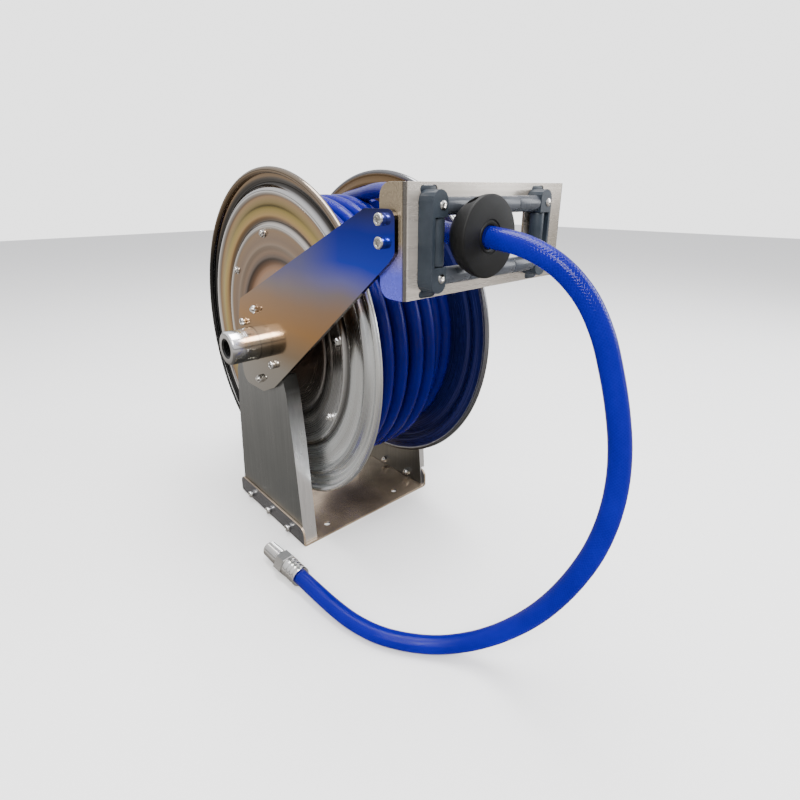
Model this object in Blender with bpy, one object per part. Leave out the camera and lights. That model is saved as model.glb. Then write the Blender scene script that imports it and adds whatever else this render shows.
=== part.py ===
"""Spring-rewind industrial hose reel, in metres.

X runs along the drum axis (the water inlet is on the -X side), -Y is the way the hose
leaves, +Z is up. The origin is the centre of the underside of the base plate.
"""

import math

import bmesh
import bpy
from mathutils import Matrix, Vector

MM = 0.001
GAP = 0.3 * MM                     # clearance between pieces that touch

# Driving sizes
DISC_RADIUS = 215 * MM
AXIS_HEIGHT = 267 * MM
DRUM_X = 8.5 * MM                  # middle of the drum
DISC_OFFSET = 85.8 * MM            # rim plane of each disc from the drum's middle
HOSE_RADIUS = 9 * MM
CORE_RADIUS = 150 * MM
WINDING_RADIUS = 182.5 * MM

# Base and legs
BASE_HALF_X = 115 * MM
BASE_HALF_Y = 92.5 * MM
BASE_FLANGE = 28.5 * MM
SHEET = 3 * MM
LEG_OUTER_X = BASE_HALF_X - SHEET - GAP
LEG_BOTTOM = SHEET + GAP
BASE_BOLT_HEIGHT = 12.5 * MM
BASE_BOLT_YS = (-55 * MM, 0.0, 55 * MM)

MOUNT_HOLE_RADIUS = 4.5 * MM
MOUNT_HOLE_X = 64 * MM
MOUNT_HOLE_Y = 72 * MM
LEG_FOOT = ((-68, 214, 0), (-76, 150, 0), (-88, 3.3, 0), (88, 3.3, 0), (76, 150, 0), (68, 214, 0))
LEFT_LEG_TOP = ((38, 280, 12), (22, 318, 8), (-30, 330, 12), (-45, 290, 12))
RIGHT_LEG_TOP = ((38, 300, 14), (22, 316, 12), (-22, 316, 12), (-38, 300, 14))
HUB_HOLE = 22 * MM

# Holes for bolts and screws
M6_HOLE = 3.2 * MM
M6_5_HOLE = 3.5 * MM
M5_HOLE = 2.8 * MM

# Guide arm and bracket
ARM_INNER_X = -LEG_OUTER_X - GAP
ARM_THICKNESS = 4 * MM
ARM_OUTER_X = ARM_INNER_X - ARM_THICKNESS
BRACKET_SHEET = 2.5 * MM
BRACKET_LEFT = ARM_INNER_X + GAP
BRACKET_RIGHT = 118.3 * MM
BRACKET_FRONT = -283 * MM
BRACKET_BACK = -252 * MM
BRACKET_LOW = 364 * MM
BRACKET_HIGH = 459.5 * MM
ARM_CORNERS = ((27, 322, 6), (44, 272, 10), (38, 205, 16), (-17, 205, 10), (-47, 218.6, 0),
               (-80, 244.5, 0), (-268.5, 395.5, 0), (-276, 403, 8), (-276, 438.8, 8),
               (-236.5, 438.8, 6))
HUB_BOLTS = (("upper", -16, 315), ("front", -52, 251), ("lower", -13, 222), ("back", 19, 293))
GUIDE_BOLTS = (("upper", 430.5), ("lower", 411.7))
GUIDE_BOLT_Y = -261 * MM
WINDOW = (-76 * MM, 51 * MM, 388 * MM, 436 * MM)
SLOT_HALF_LENGTH = 10 * MM
SLOT_RADIUS = 3.5 * MM
SLOT_XS = (-84.5 * MM, 70.5 * MM)
SLOT_HEIGHTS = (368 * MM, 453.5 * MM)

# Roller guide
GUIDE_HEIGHT = 412 * MM
ROLLER_Y = -292.5 * MM
ROLLER_RADIUS = 7.5 * MM
ROLLER_BORE = 3.12 * MM
ROLLER_PIN = 3 * MM
ROLLER_RISE = 28.5 * MM            # horizontal roller axes above and below the guide's middle
BLOCK_LEFT = -88 * MM
BLOCK_RIGHT = 61.5 * MM
BLOCK_WIDTH = 17.4 * MM
BLOCK_HEIGHT = 83 * MM
BLOCK_FRONT = -300 * MM
SLEEVES_PER_PIN = 4
ROLLER_SIDES = 16
BLOCK_SCREW_HEIGHTS = (GUIDE_HEIGHT - 29.3 * MM, GUIDE_HEIGHT + 29.3 * MM)
RECESS_HALF = 20 * MM              # half height of a block's recess for its upright roller
PIN_IN_BLOCK = 3 * MM
UPRIGHT_INSET = 3 * MM             # an upright roller's axis, from its block's middle towards the hose
SCREW_INSET = 3 * MM               # block screws, from the block's middle towards +X
UPRIGHT_PIN = 2 * MM
UPRIGHT_BORE = 2.1 * MM
UPRIGHT_RADIUS = 7 * MM

# Hose stop and hose
STOP_RADIUS = 33.5 * MM
STOP_CENTRE = Vector((-56, -326, 416.6)) * MM
STRAND_ROUTE = ((32, -57, 450.6), (20.5, -88, 453.2), (8.5, -120, 453.6), (-3, -150, 451),
                (-18.5, -188, 442), (-33.5, -223, 430.5), (-45.5, -250, 421.8), (-52, -270, 418.4),
                (-54.9, -286, 416.9), (-56, -300, 416.6), (-56, -312, 416.6), (-56, -324.6, 416.6))
HOSE_ROUTE = ((-56, -326.3, 416.6), (-53, -356.7, 411.5), (-47.7, -384.2, 398.8),
              (-41.4, -405.6, 377.4), (-35.7, -419.6, 350.5), (-31.7, -429, 321.3),
              (-30, -437.3, 291.5), (-30.1, -443.8, 261.2), (-32.1, -447, 230.5),
              (-36.1, -446.3, 199.8), (-41.4, -441.5, 169.7), (-46.5, -432.4, 140.6),
              (-50.8, -420.2, 112.4), (-55, -405.5, 85.5), (-60.7, -388.1, 60.5),
              (-69.3, -368.4, 38.3), (-82.3, -346.8, 21.2), (-100.4, -323.7, 11.6),
              (-119.8, -299.6, 9.4), (-136, -273.3, 9.4), (-146, -244, 10), (-151.6, -213.6, 12.2),
              (-154.5, -182.9, 14.4), (-155.9, -152, 14.8))

# Inlet, shaft and spring
RUNNING = 0.15 * MM                # radial clearance of a turning shaft
SWIVEL_RADIUS = 21.5 * MM
SWIVEL_END = -153.5 * MM
INLET_RADIUS = 11 * MM
INLET_DEPTH = 20 * MM
SHAFT_RADIUS = 12 * MM
SHAFT_BORE = 7 * MM
SHAFT_START = -120 * MM
SHAFT_END = -20 * MM
SHAFT_FLANGE = 34 * MM
SEAL_START = -115 * MM
SEAL_LENGTH = 5 * MM
SEAL_RADIUS = 16 * MM
BEARING_START = -108 * MM
BEARING_LENGTH = 8 * MM
BEARING_RADIUS = 18 * MM
ARBOR_RADIUS = 12 * MM
ARBOR_THREAD = 8 * MM
ARBOR_START = 24 * MM
SPRING_START = 36 * MM
SPRING_WIDTH = 36 * MM
SPRING_INNER = 13.6 * MM
SPRING_OUTER = 92 * MM
SPRING_TURNS = 5
SPRING_THICKNESS = 1.6 * MM
CASE_START = 30 * MM
CASE_RADIUS = 100 * MM
CASE_WALL = 2 * MM

# Drum
BEAD = 4 * MM                      # radius of the rolled rim of a disc
DISC_SHEET = 1.5 * MM
CORE_HALF = 81.3 * MM
CORE_WALL = 2 * MM
CORE_LIP = 124 * MM
WINDING_HALF = 80.5 * MM
PRESSED_PROFILE = ((-7, 96), (-3, 105), (-1, 121), (-1, 141), (-3, 150), (0, 156), (0, 182),
                   (3, 188), (-3, 195), (-2, 202))
HUB_DISH = 7 * MM                  # depth of a disc's middle, inwards from its rim plane
RIGHT_BEARING_START = 83 * MM
RIGHT_BEARING_LENGTH = 7 * MM
ELBOW_X = 10 * MM
ELBOW_RADIUS = 8 * MM
ELBOW_ROUTE = ((-19, 0, 267), (-13, 0, 267), (-7, 0, 267.6), (3, 0, 273), (9, 0, 284),
               (10, 0, 300), (10, 0, 350), (10, 0, 416.6))

# Latch
RATCHET_TEETH = 12
RATCHET_RADIUS = 46 * MM
RATCHET_ROOT = 39.5 * MM
RATCHET_X = -96 * MM
RATCHET_WIDTH = 5 * MM
PAWL_Y = 48.6 * MM
PAWL_Z = 235.4 * MM
PAWL_PIN_RADIUS = 3 * MM
PAWL_CORNERS = ((54.6, 236), (58.5, 262), (54, 271.5), (48, 274.5), (47.8, 270), (52, 263),
                (50.5, 250), (43.5, 238.5))

# Colours: rgb, roughness, metallic
SATIN_STEEL = ((0.45, 0.44, 0.43), 0.38, 1.0)
POLISHED_STEEL = ((0.62, 0.60, 0.58), 0.12, 1.0)
BRIGHT_STEEL = ((0.75, 0.75, 0.74), 0.2, 1.0)
DARK_PLASTIC = ((0.05, 0.07, 0.10), 0.4, 0.0)
LIGHT_PLASTIC = ((0.25, 0.27, 0.30), 0.25, 0.0)
BLACK_RUBBER = ((0.015, 0.016, 0.018), 0.7, 0.0)
BLUE_HOSE = ((0.01, 0.03, 0.55), 0.2, 0.0)
BRONZE = ((0.45, 0.30, 0.14), 0.35, 1.0)


# ---------------------------------------------------------------- helpers

def material(name, colour, roughness, metallic):
    """Return a Principled material of one colour."""
    made = bpy.data.materials.new(name)
    made.use_nodes = True
    shader = made.node_tree.nodes["Principled BSDF"]
    shader.inputs["Base Color"].default_value = (*colour, 1.0)
    shader.inputs["Roughness"].default_value = roughness
    shader.inputs["Metallic"].default_value = metallic
    return made


def add_object(name, bm, colour, location=(0, 0, 0), parent=None, smooth=True):
    """Turn a bmesh into a named object; location is where its origin stands in the world."""
    bmesh.ops.recalc_face_normals(bm, faces=bm.faces)
    mesh = bpy.data.meshes.new(name)
    bm.to_mesh(mesh)
    bm.free()
    mesh.transform(Matrix.Translation(-Vector(location)))
    if smooth:
        mesh.shade_smooth()
        mesh.set_sharp_from_angle(angle=math.radians(35))
    made = bpy.data.objects.new(name, mesh)
    bpy.context.collection.objects.link(made)
    made.location = location
    made.data.materials.append(material(name, *colour))
    if parent is not None:
        made.parent = parent
        made.matrix_parent_inverse = Matrix.Translation(-parent.location)
    return made


def pivot(name, location):
    """Return an empty that stands on a joint's axis."""
    made = bpy.data.objects.new(name, None)
    bpy.context.collection.objects.link(made)
    made.location = location
    return made


def frame_along(axis):
    """Return the rotation that carries +Z onto the axis."""
    return Vector((0, 0, 1)).rotation_difference(Vector(axis)).to_matrix().to_4x4()


def ring_points(radius, height, sides, across_flats):
    """Return one ring of points: a circle, or a hexagon when across_flats is true."""
    points = []
    for index in range(sides):
        angle = 2 * math.pi * index / sides
        reach = radius
        if across_flats:
            reach = radius / math.cos((angle % (math.pi / 3)) - math.pi / 6)
        points.append(Vector((reach * math.cos(angle), reach * math.sin(angle), height)))
    return points


def turned_mesh(stations, start, axis, sides, hollow=False):
    """Turn stations of (height, radius[, "hex"]) about an axis through start.

    A hollow shape joins its last station back to its first; any other is capped.
    """
    bm = bmesh.new()
    rings = []
    for station in stations:
        points = ring_points(station[1], station[0], sides, len(station) == 3)
        rings.append([bm.verts.new(point) for point in points])
    pairs = list(zip(rings, rings[1:]))
    if hollow:
        pairs.append((rings[-1], rings[0]))
    else:
        bm.faces.new(rings[0])
        bm.faces.new(rings[-1])
    for lower, upper in pairs:
        for index in range(sides):
            following = (index + 1) % sides
            bm.faces.new((lower[index], lower[following], upper[following], upper[index]))
    bm.transform(Matrix.Translation(start) @ frame_along(axis))
    return bm


def turned(name, stations, start, axis, colour, sides=24, hollow=False, parent=None):
    """Add a turned piece whose origin is at its start."""
    bm = turned_mesh(stations, start, axis, sides, hollow)
    return add_object(name, bm, colour, start, parent)


def tube_stations(inner, outer, length):
    """Return the stations of a plain sleeve, for a hollow turned piece."""
    return ((0, inner), (0, outer), (length, outer), (length, inner))


def arc(centre, radius, first, last, steps):
    """Return points on an arc, with angles in degrees."""
    points = []
    for step in range(steps + 1):
        angle = math.radians(first + (last - first) * step / steps)
        points.append((centre[0] + radius * math.cos(angle), centre[1] + radius * math.sin(angle)))
    return points


def rounded(corners, steps=4):
    """Round the corners of an outline, given as (a, b, radius)."""
    outline = []
    count = len(corners)
    for index, (a, b, radius) in enumerate(corners):
        here = Vector((a, b))
        if radius == 0:
            outline.append((a, b))
            continue
        back = (Vector(corners[index - 1][:2]) - here).normalized()
        ahead = (Vector(corners[(index + 1) % count][:2]) - here).normalized()
        half_turn = math.acos(max(-1.0, min(1.0, back.dot(ahead)))) / 2
        reach = radius / math.tan(half_turn)
        centre = here + (back + ahead).normalized() * (radius / math.sin(half_turn))
        start = here + back * reach - centre
        end = here + ahead * reach - centre
        turn = start.angle_signed(end)
        for step in range(steps + 1):
            spoke = start.copy()
            spoke.rotate(Matrix.Rotation(-turn * step / steps, 2))
            outline.append(tuple(centre + spoke))
    return outline


def prism_mesh(outline, low, high, along):
    """Extrude an outline from low to high along X, Y or Z; its points hold the other two."""
    bm = bmesh.new()
    rings = []
    for depth in (low, high):
        points = []
        for a, b in outline:
            place = {"X": (depth, a, b), "Y": (a, depth, b), "Z": (a, b, depth)}[along]
            points.append(bm.verts.new(place))
        rings.append(points)
    bm.faces.new(rings[0])
    bm.faces.new(rings[1])
    count = len(outline)
    for index in range(count):
        following = (index + 1) % count
        bm.faces.new((rings[0][index], rings[0][following], rings[1][following], rings[1][index]))
    return bm


def scaled(corners):
    """Turn (a, b, radius) in millimetres into metres."""
    return [tuple(value * MM for value in corner) for corner in corners]


def box_outline(a_low, a_high, b_low, b_high, radius=0.0):
    """Return a rectangle's outline, with round corners of one radius."""
    return rounded([(a_low, b_low, radius), (a_high, b_low, radius),
                    (a_high, b_high, radius), (a_low, b_high, radius)])


def cutter(bm, name):
    """Add a hidden shape for a Boolean."""
    made = add_object(name, bm, ((1, 0, 0), 0.5, 0), smooth=False)
    made.hide_render = True
    made.display_type = "WIRE"
    return made


def combine(target, bm, operation="DIFFERENCE"):
    """Add a Boolean with a hidden shape to the target."""
    number = len(target.modifiers)
    tool = cutter(bm, f"{target.name}_tool_{number}")
    modifier = target.modifiers.new(f"{operation.lower()}_{number}", "BOOLEAN")
    modifier.operation = operation
    modifier.solver = "EXACT"
    modifier.object = tool
    return tool


def drill(target, start, axis, radius, depth, sides=12):
    """Cut a round hole in the target from start along axis."""
    combine(target, turned_mesh(((0, radius), (depth, radius)), Vector(start), axis, sides))


def smooth_route(route, spacing):
    """Return even points on a Catmull-Rom curve through a route in millimetres."""
    knots = [Vector(point) * MM for point in route]
    knots.insert(0, 2 * knots[0] - knots[1])
    knots.append(2 * knots[-1] - knots[-2])
    fine = []
    for first, second, third, fourth in zip(knots, knots[1:], knots[2:], knots[3:]):
        for step in range(12):
            t = step / 12
            fine.append(0.5 * (2 * second + (third - first) * t
                               + (2 * first - 5 * second + 4 * third - fourth) * t ** 2
                               + (3 * second - first - 3 * third + fourth) * t ** 3))
    fine.append(knots[-2])
    lengths = [0.0]
    for before, after in zip(fine, fine[1:]):
        lengths.append(lengths[-1] + (after - before).length)
    count = round(lengths[-1] / spacing)
    points = []
    index = 0
    for number in range(count + 1):
        reach = lengths[-1] * number / count
        while index < len(fine) - 2 and lengths[index + 1] < reach:
            index += 1
        share = (reach - lengths[index]) / (lengths[index + 1] - lengths[index])
        points.append(fine[index].lerp(fine[index + 1], min(share, 1.0)))
    return points


def hose_tube(name, route, spacing, colour, radius, fineness=3):
    """Add a round tube along a route as a curve with a bevel."""
    points = smooth_route(route, spacing)
    curve = bpy.data.curves.new(name, "CURVE")
    curve.dimensions = "3D"
    curve.bevel_depth = radius
    curve.bevel_resolution = fineness
    curve.use_fill_caps = True
    spline = curve.splines.new("POLY")
    spline.points.add(len(points) - 1)
    for place, point in zip(spline.points, points):
        place.co = (*point, 1)
    spline.use_smooth = True
    made = bpy.data.objects.new(name, curve)
    bpy.context.collection.objects.link(made)
    curve.materials.append(material(name, *colour))
    return made


# ---------------------------------------------------------------- fasteners

def bolt(name, start, axis, grip, size=6 * MM, head_depth=6 * MM, nut=True):
    """Add a socket-head bolt that starts under its head, with its nut wound on.

    start is where the head meets the outer face; axis is the way the shank goes.
    """
    head = 0.83 * size
    shank = size / 2 - 0.1 * MM
    nut_height = 0.8 * size
    stations = [(-head_depth, head), (-GAP, head), (-GAP, shank)]
    if nut:
        stations += [(grip + GAP, shank), (grip + GAP, head, "hex"),
                     (grip + GAP + nut_height, head, "hex"), (grip + GAP + nut_height, shank),
                     (grip + GAP + 1.3 * nut_height, shank)]
    else:
        stations.append((grip, shank))
    return turned(name, stations, Vector(start), axis, BRIGHT_STEEL, sides=12)


def base_bolts():
    """Bolts through the base flanges into the feet of the legs."""
    grip = 2 * SHEET + GAP
    for side, sign in (("left", -1), ("right", 1)):
        for place, y in zip(("front", "middle", "back"), BASE_BOLT_YS):
            start = (sign * BASE_HALF_X, y, BASE_BOLT_HEIGHT)
            bolt(f"base_bolt_{side}_{place}", start, (-sign, 0, 0), grip)


def hub_bolts():
    """Bolts that clamp the guide arm to the left leg, around the inlet."""
    for place, y, z in HUB_BOLTS:
        start = (ARM_OUTER_X, y * MM, z * MM)
        bolt(f"arm_bolt_{place}", start, (1, 0, 0), ARM_THICKNESS + SHEET + GAP)


def guide_bolts():
    """Bolts that join the guide bracket's side to the arm's end."""
    for place, z in GUIDE_BOLTS:
        start = (ARM_OUTER_X, GUIDE_BOLT_Y, z * MM)
        bolt(f"guide_bolt_{place}", start, (1, 0, 0), ARM_THICKNESS + BRACKET_SHEET + GAP,
             size=6.5 * MM)


# ---------------------------------------------------------------- base and legs

def base_plate():
    """Plate bent up along both sides, with four holes for floor or wall bolts."""
    outer = BASE_HALF_X
    inner = BASE_HALF_X - SHEET
    section = ([(-outer, BASE_FLANGE)] + arc((-outer + 4 * MM, 4 * MM), 4 * MM, 180, 270, 3)
               + arc((outer - 4 * MM, 4 * MM), 4 * MM, 270, 360, 3)
               + [(outer, BASE_FLANGE), (inner, BASE_FLANGE), (inner, SHEET),
                  (-inner, SHEET), (-inner, BASE_FLANGE)])
    bm = prism_mesh(section, -BASE_HALF_Y, BASE_HALF_Y, "Y")
    base = add_object("base_plate", bm, SATIN_STEEL)
    side = rounded([(-BASE_HALF_Y, -MM, 0), (BASE_HALF_Y, -MM, 0),
                    (BASE_HALF_Y, BASE_FLANGE, 10 * MM), (-BASE_HALF_Y, BASE_FLANGE, 10 * MM)])
    combine(base, prism_mesh(side, -outer - MM, outer + MM, "X"), "INTERSECT")
    for x in (-MOUNT_HOLE_X, MOUNT_HOLE_X):
        for y in (-MOUNT_HOLE_Y, MOUNT_HOLE_Y):
            drill(base, (x, y, -MM), (0, 0, 1), MOUNT_HOLE_RADIUS, SHEET + 2 * MM)
    for sign in (-1, 1):
        for y in BASE_BOLT_YS:
            drill(base, (sign * (outer + MM), y, BASE_BOLT_HEIGHT), (-sign, 0, 0),
                  M6_HOLE, SHEET + 2 * MM)


def leg_holes(leg, sign):
    """Cut the bolt holes that both legs share."""
    for y in BASE_BOLT_YS:
        start = (sign * (LEG_OUTER_X + MM), y, BASE_BOLT_HEIGHT)
        drill(leg, start, (-sign, 0, 0), M6_HOLE, SHEET + 2 * MM)


def left_leg():
    """Upright channel: a web against the base flange, with both edges folded inwards."""
    fold_depth = 20 * MM
    outline = rounded(scaled(LEG_FOOT + LEFT_LEG_TOP))
    web_inner = -LEG_OUTER_X + SHEET
    start_x = -LEG_OUTER_X - MM
    bm = prism_mesh(outline, -LEG_OUTER_X, -LEG_OUTER_X + fold_depth, "X")
    leg = add_object("left_leg", bm, SATIN_STEEL)
    hollow = ((-85, -10, 0), (85, -10, 0), (85, 3, 0), (73, 150, 0), (65, 213, 0), (60, 225, 0),
              (120, 225, 0), (120, 350, 0), (-120, 350, 0), (-120, 236, 0), (-57, 236, 0),
              (-65, 213, 0), (-73, 150, 0), (-85, 3, 0))
    combine(leg, prism_mesh(rounded(scaled(hollow)), web_inner, web_inner + 30 * MM, "X"))
    leg_holes(leg, -1)
    drill(leg, (start_x, 0, AXIS_HEIGHT), (1, 0, 0), HUB_HOLE, SHEET + 2 * MM, 32)
    for _, y, z in HUB_BOLTS:
        drill(leg, (start_x, y * MM, z * MM), (1, 0, 0), M6_HOLE, SHEET + 2 * MM)
    drill(leg, (start_x, PAWL_Y, PAWL_Z), (1, 0, 0), PAWL_PIN_RADIUS + GAP, SHEET + 2 * MM)


def right_leg():
    """Plain upright plate with a narrow lip folded outwards above the base flange."""
    lip = 6.5 * MM
    outline = rounded(scaled(LEG_FOOT + RIGHT_LEG_TOP))
    inner = LEG_OUTER_X - SHEET
    bm = prism_mesh(outline, inner, LEG_OUTER_X + lip, "X")
    leg = add_object("right_leg", bm, SATIN_STEEL)
    between_lips = ((-120, -10, 0), (120, -10, 0), (120, 32, 0), (83, 32, 0), (73.5, 150, 0),
                    (65, 218, 0), (120, 218, 0), (120, 350, 0), (-120, 350, 0), (-120, 218, 0),
                    (-65, 218, 0), (-73.5, 150, 0), (-83, 32, 0), (-120, 32, 0))
    combine(leg, prism_mesh(rounded(scaled(between_lips)), LEG_OUTER_X, LEG_OUTER_X + 30 * MM, "X"))
    leg_holes(leg, 1)
    drill(leg, (inner - MM, 0, AXIS_HEIGHT), (1, 0, 0), ARBOR_THREAD + GAP, SHEET + 2 * MM, 32)


# ---------------------------------------------------------------- guide arm and bracket

def guide_arm():
    """Flat arm from the inlet's hub up to the guide bracket."""
    bm = prism_mesh(rounded(scaled(ARM_CORNERS)), ARM_OUTER_X, ARM_INNER_X, "X")
    arm = add_object("guide_arm", bm, POLISHED_STEEL)
    start_x = ARM_OUTER_X - MM
    depth = ARM_THICKNESS + 2 * MM
    drill(arm, (start_x, 0, AXIS_HEIGHT), (1, 0, 0), HUB_HOLE, depth, 32)
    for _, y, z in HUB_BOLTS:
        drill(arm, (start_x, y * MM, z * MM), (1, 0, 0), M6_HOLE, depth)
    for _, z in GUIDE_BOLTS:
        drill(arm, (start_x, GUIDE_BOLT_Y, z * MM), (1, 0, 0), M6_5_HOLE, depth)


def guide_bracket():
    """Folded plate that carries the rollers, with a window for the hose."""
    left, right, sheet = BRACKET_LEFT, BRACKET_RIGHT, BRACKET_SHEET
    bend = 4 * MM
    section = ([(left, BRACKET_BACK)]
               + arc((left + bend, BRACKET_FRONT + bend), bend, 180, 270, 3)
               + arc((right - bend, BRACKET_FRONT + bend), bend, 270, 360, 3)
               + [(right, BRACKET_BACK), (right - sheet, BRACKET_BACK),
                  (right - sheet, BRACKET_FRONT + sheet), (left + sheet, BRACKET_FRONT + sheet),
                  (left + sheet, BRACKET_BACK)])
    bm = prism_mesh(section, BRACKET_LOW, BRACKET_HIGH, "Z")
    bracket = add_object("guide_bracket", bm, POLISHED_STEEL)
    side = rounded([(BRACKET_FRONT - MM, BRACKET_LOW, 0), (BRACKET_BACK, BRACKET_LOW, 12 * MM),
                    (BRACKET_BACK, BRACKET_HIGH, 12 * MM), (BRACKET_FRONT - MM, BRACKET_HIGH, 0)])
    combine(bracket, prism_mesh(side, left - MM, right + MM, "X"), "INTERSECT")
    front = BRACKET_FRONT - 2 * MM
    back = BRACKET_FRONT + sheet + 2 * MM
    combine(bracket, prism_mesh(box_outline(*WINDOW, 4 * MM), front, back, "Y"))
    for x in SLOT_XS:
        for z in SLOT_HEIGHTS:
            slot = box_outline(x - SLOT_HALF_LENGTH, x + SLOT_HALF_LENGTH,
                               z - SLOT_RADIUS, z + SLOT_RADIUS, 0.99 * SLOT_RADIUS)
            combine(bracket, prism_mesh(slot, front, back, "Y"))
    for x in (BLOCK_LEFT, BLOCK_RIGHT):
        for z in BLOCK_SCREW_HEIGHTS:
            drill(bracket, (x + SCREW_INSET, front, z), (0, 1, 0), M5_HOLE, back - front)
    for _, z in GUIDE_BOLTS:
        drill(bracket, (left - MM, GUIDE_BOLT_Y, z * MM), (1, 0, 0), M6_5_HOLE, sheet + 2 * MM)


# ---------------------------------------------------------------- roller guide

def roller_block(name, x, inward):
    """C-shaped plastic block that holds the ends of the roller pins."""
    half = BLOCK_WIDTH / 2
    low = GUIDE_HEIGHT - BLOCK_HEIGHT / 2
    high = GUIDE_HEIGHT + BLOCK_HEIGHT / 2
    back = BRACKET_FRONT - GAP
    outline = box_outline(x - half, x + half, low, high, 0.98 * half)
    block = add_object(name, prism_mesh(outline, BLOCK_FRONT, back, "Y"), DARK_PLASTIC)
    wall = x - inward * (half - 3 * MM)
    reach = x + inward * (half + MM)
    recess = box_outline(min(wall, reach), max(wall, reach),
                         GUIDE_HEIGHT - RECESS_HALF, GUIDE_HEIGHT + RECESS_HALF)
    combine(block, prism_mesh(recess, BLOCK_FRONT - MM, back + MM, "Y"))
    for z in (GUIDE_HEIGHT - ROLLER_RISE, GUIDE_HEIGHT + ROLLER_RISE):
        start = (x + inward * (half + MM), ROLLER_Y, z)
        drill(block, start, (-inward, 0, 0), ROLLER_PIN + 0.05 * MM,
              PIN_IN_BLOCK + MM, ROLLER_SIDES)
    upright_x = x + inward * UPRIGHT_INSET
    drill(block, (upright_x, ROLLER_Y, GUIDE_HEIGHT - RECESS_HALF - 3 * MM), (0, 0, 1),
          UPRIGHT_PIN + 0.05 * MM, 2 * RECESS_HALF + 6 * MM, ROLLER_SIDES)
    for z in BLOCK_SCREW_HEIGHTS:
        drill(block, (x + SCREW_INSET, BLOCK_FRONT - MM, z), (0, 1, 0), M5_HOLE, 30 * MM)


def rollers():
    """Two horizontal pins with sleeves, and an upright roller in each block."""
    inner_left = BLOCK_LEFT + BLOCK_WIDTH / 2
    inner_right = BLOCK_RIGHT - BLOCK_WIDTH / 2
    pin_start = inner_left - PIN_IN_BLOCK + GAP
    pin_length = inner_right - inner_left + 2 * PIN_IN_BLOCK - 2 * GAP
    sleeve_pitch = (inner_right - inner_left - GAP) / SLEEVES_PER_PIN
    sleeve_length = sleeve_pitch - GAP
    for level, sign in (("upper", 1), ("lower", -1)):
        z = GUIDE_HEIGHT + sign * ROLLER_RISE
        turned(f"{level}_roller_pin", ((0, ROLLER_PIN), (pin_length, ROLLER_PIN)),
               Vector((pin_start, ROLLER_Y, z)), (1, 0, 0), BRIGHT_STEEL, sides=ROLLER_SIDES)
        for number in range(SLEEVES_PER_PIN):
            start = Vector((inner_left + GAP + number * sleeve_pitch, ROLLER_Y, z))
            turned(f"{level}_roller_{number + 1}",
                   tube_stations(ROLLER_BORE, ROLLER_RADIUS, sleeve_length), start, (1, 0, 0),
                   LIGHT_PLASTIC, sides=ROLLER_SIDES, hollow=True)
    for side, x, inward in (("left", BLOCK_LEFT, 1), ("right", BLOCK_RIGHT, -1)):
        axis_x = x + inward * UPRIGHT_INSET
        low = GUIDE_HEIGHT - RECESS_HALF
        turned(f"{side}_roller_pin", ((0, UPRIGHT_PIN), (2 * RECESS_HALF + 5 * MM, UPRIGHT_PIN)),
               Vector((axis_x, ROLLER_Y, low - 2.5 * MM)), (0, 0, 1), BRIGHT_STEEL,
               sides=ROLLER_SIDES)
        length = 2 * RECESS_HALF - 2 * GAP
        turned(f"{side}_roller", tube_stations(UPRIGHT_BORE, UPRIGHT_RADIUS, length),
               Vector((axis_x, ROLLER_Y, low + GAP)), (0, 0, 1), DARK_PLASTIC,
               sides=ROLLER_SIDES, hollow=True)


def block_screws():
    """Screws that hold the blocks to the bracket."""
    grip = BRACKET_FRONT + BRACKET_SHEET - BLOCK_FRONT
    for side, x in (("left", BLOCK_LEFT), ("right", BLOCK_RIGHT)):
        for place, z in zip(("lower", "upper"), BLOCK_SCREW_HEIGHTS):
            bolt(f"block_screw_{side}_{place}", (x + SCREW_INSET, BLOCK_FRONT, z), (0, 1, 0),
                 grip, size=5 * MM, head_depth=1.6 * MM)


# ---------------------------------------------------------------- hub, shaft and spring

def swivel_body():
    """Fixed inlet: threaded mouth outside the arm, seal and bearing seats inside."""
    face = 1.5 * MM
    bearing_end = BEARING_START + BEARING_LENGTH - SWIVEL_END
    bearing_at = BEARING_START - GAP - SWIVEL_END
    seal_at = SEAL_START - GAP - SWIVEL_END
    shaft_at = SHAFT_START - MM - SWIVEL_END
    stations = ((0, INLET_RADIUS + face), (0, SWIVEL_RADIUS - face), (face, SWIVEL_RADIUS),
                (bearing_end, SWIVEL_RADIUS),
                (bearing_end, BEARING_RADIUS + GAP), (bearing_at, BEARING_RADIUS + GAP),
                (bearing_at, SEAL_RADIUS + GAP), (seal_at, SEAL_RADIUS + GAP),
                (seal_at, SHAFT_RADIUS + GAP), (shaft_at, SHAFT_RADIUS + GAP),
                (shaft_at, SHAFT_BORE), (INLET_DEPTH, SHAFT_BORE),
                (INLET_DEPTH - 2 * MM, INLET_RADIUS), (face, INLET_RADIUS))
    turned("swivel_body", stations, Vector((SWIVEL_END, 0, AXIS_HEIGHT)), (1, 0, 0),
           BRIGHT_STEEL, sides=24, hollow=True)
    turned("swivel_seal", tube_stations(SHAFT_RADIUS + RUNNING, SEAL_RADIUS, SEAL_LENGTH),
           Vector((SEAL_START, 0, AXIS_HEIGHT)), (1, 0, 0), BLACK_RUBBER, sides=24, hollow=True)
    turned("left_bearing", tube_stations(SHAFT_RADIUS + RUNNING, BEARING_RADIUS, BEARING_LENGTH),
           Vector((BEARING_START, 0, AXIS_HEIGHT)), (1, 0, 0), BRONZE, sides=24, hollow=True)


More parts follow.
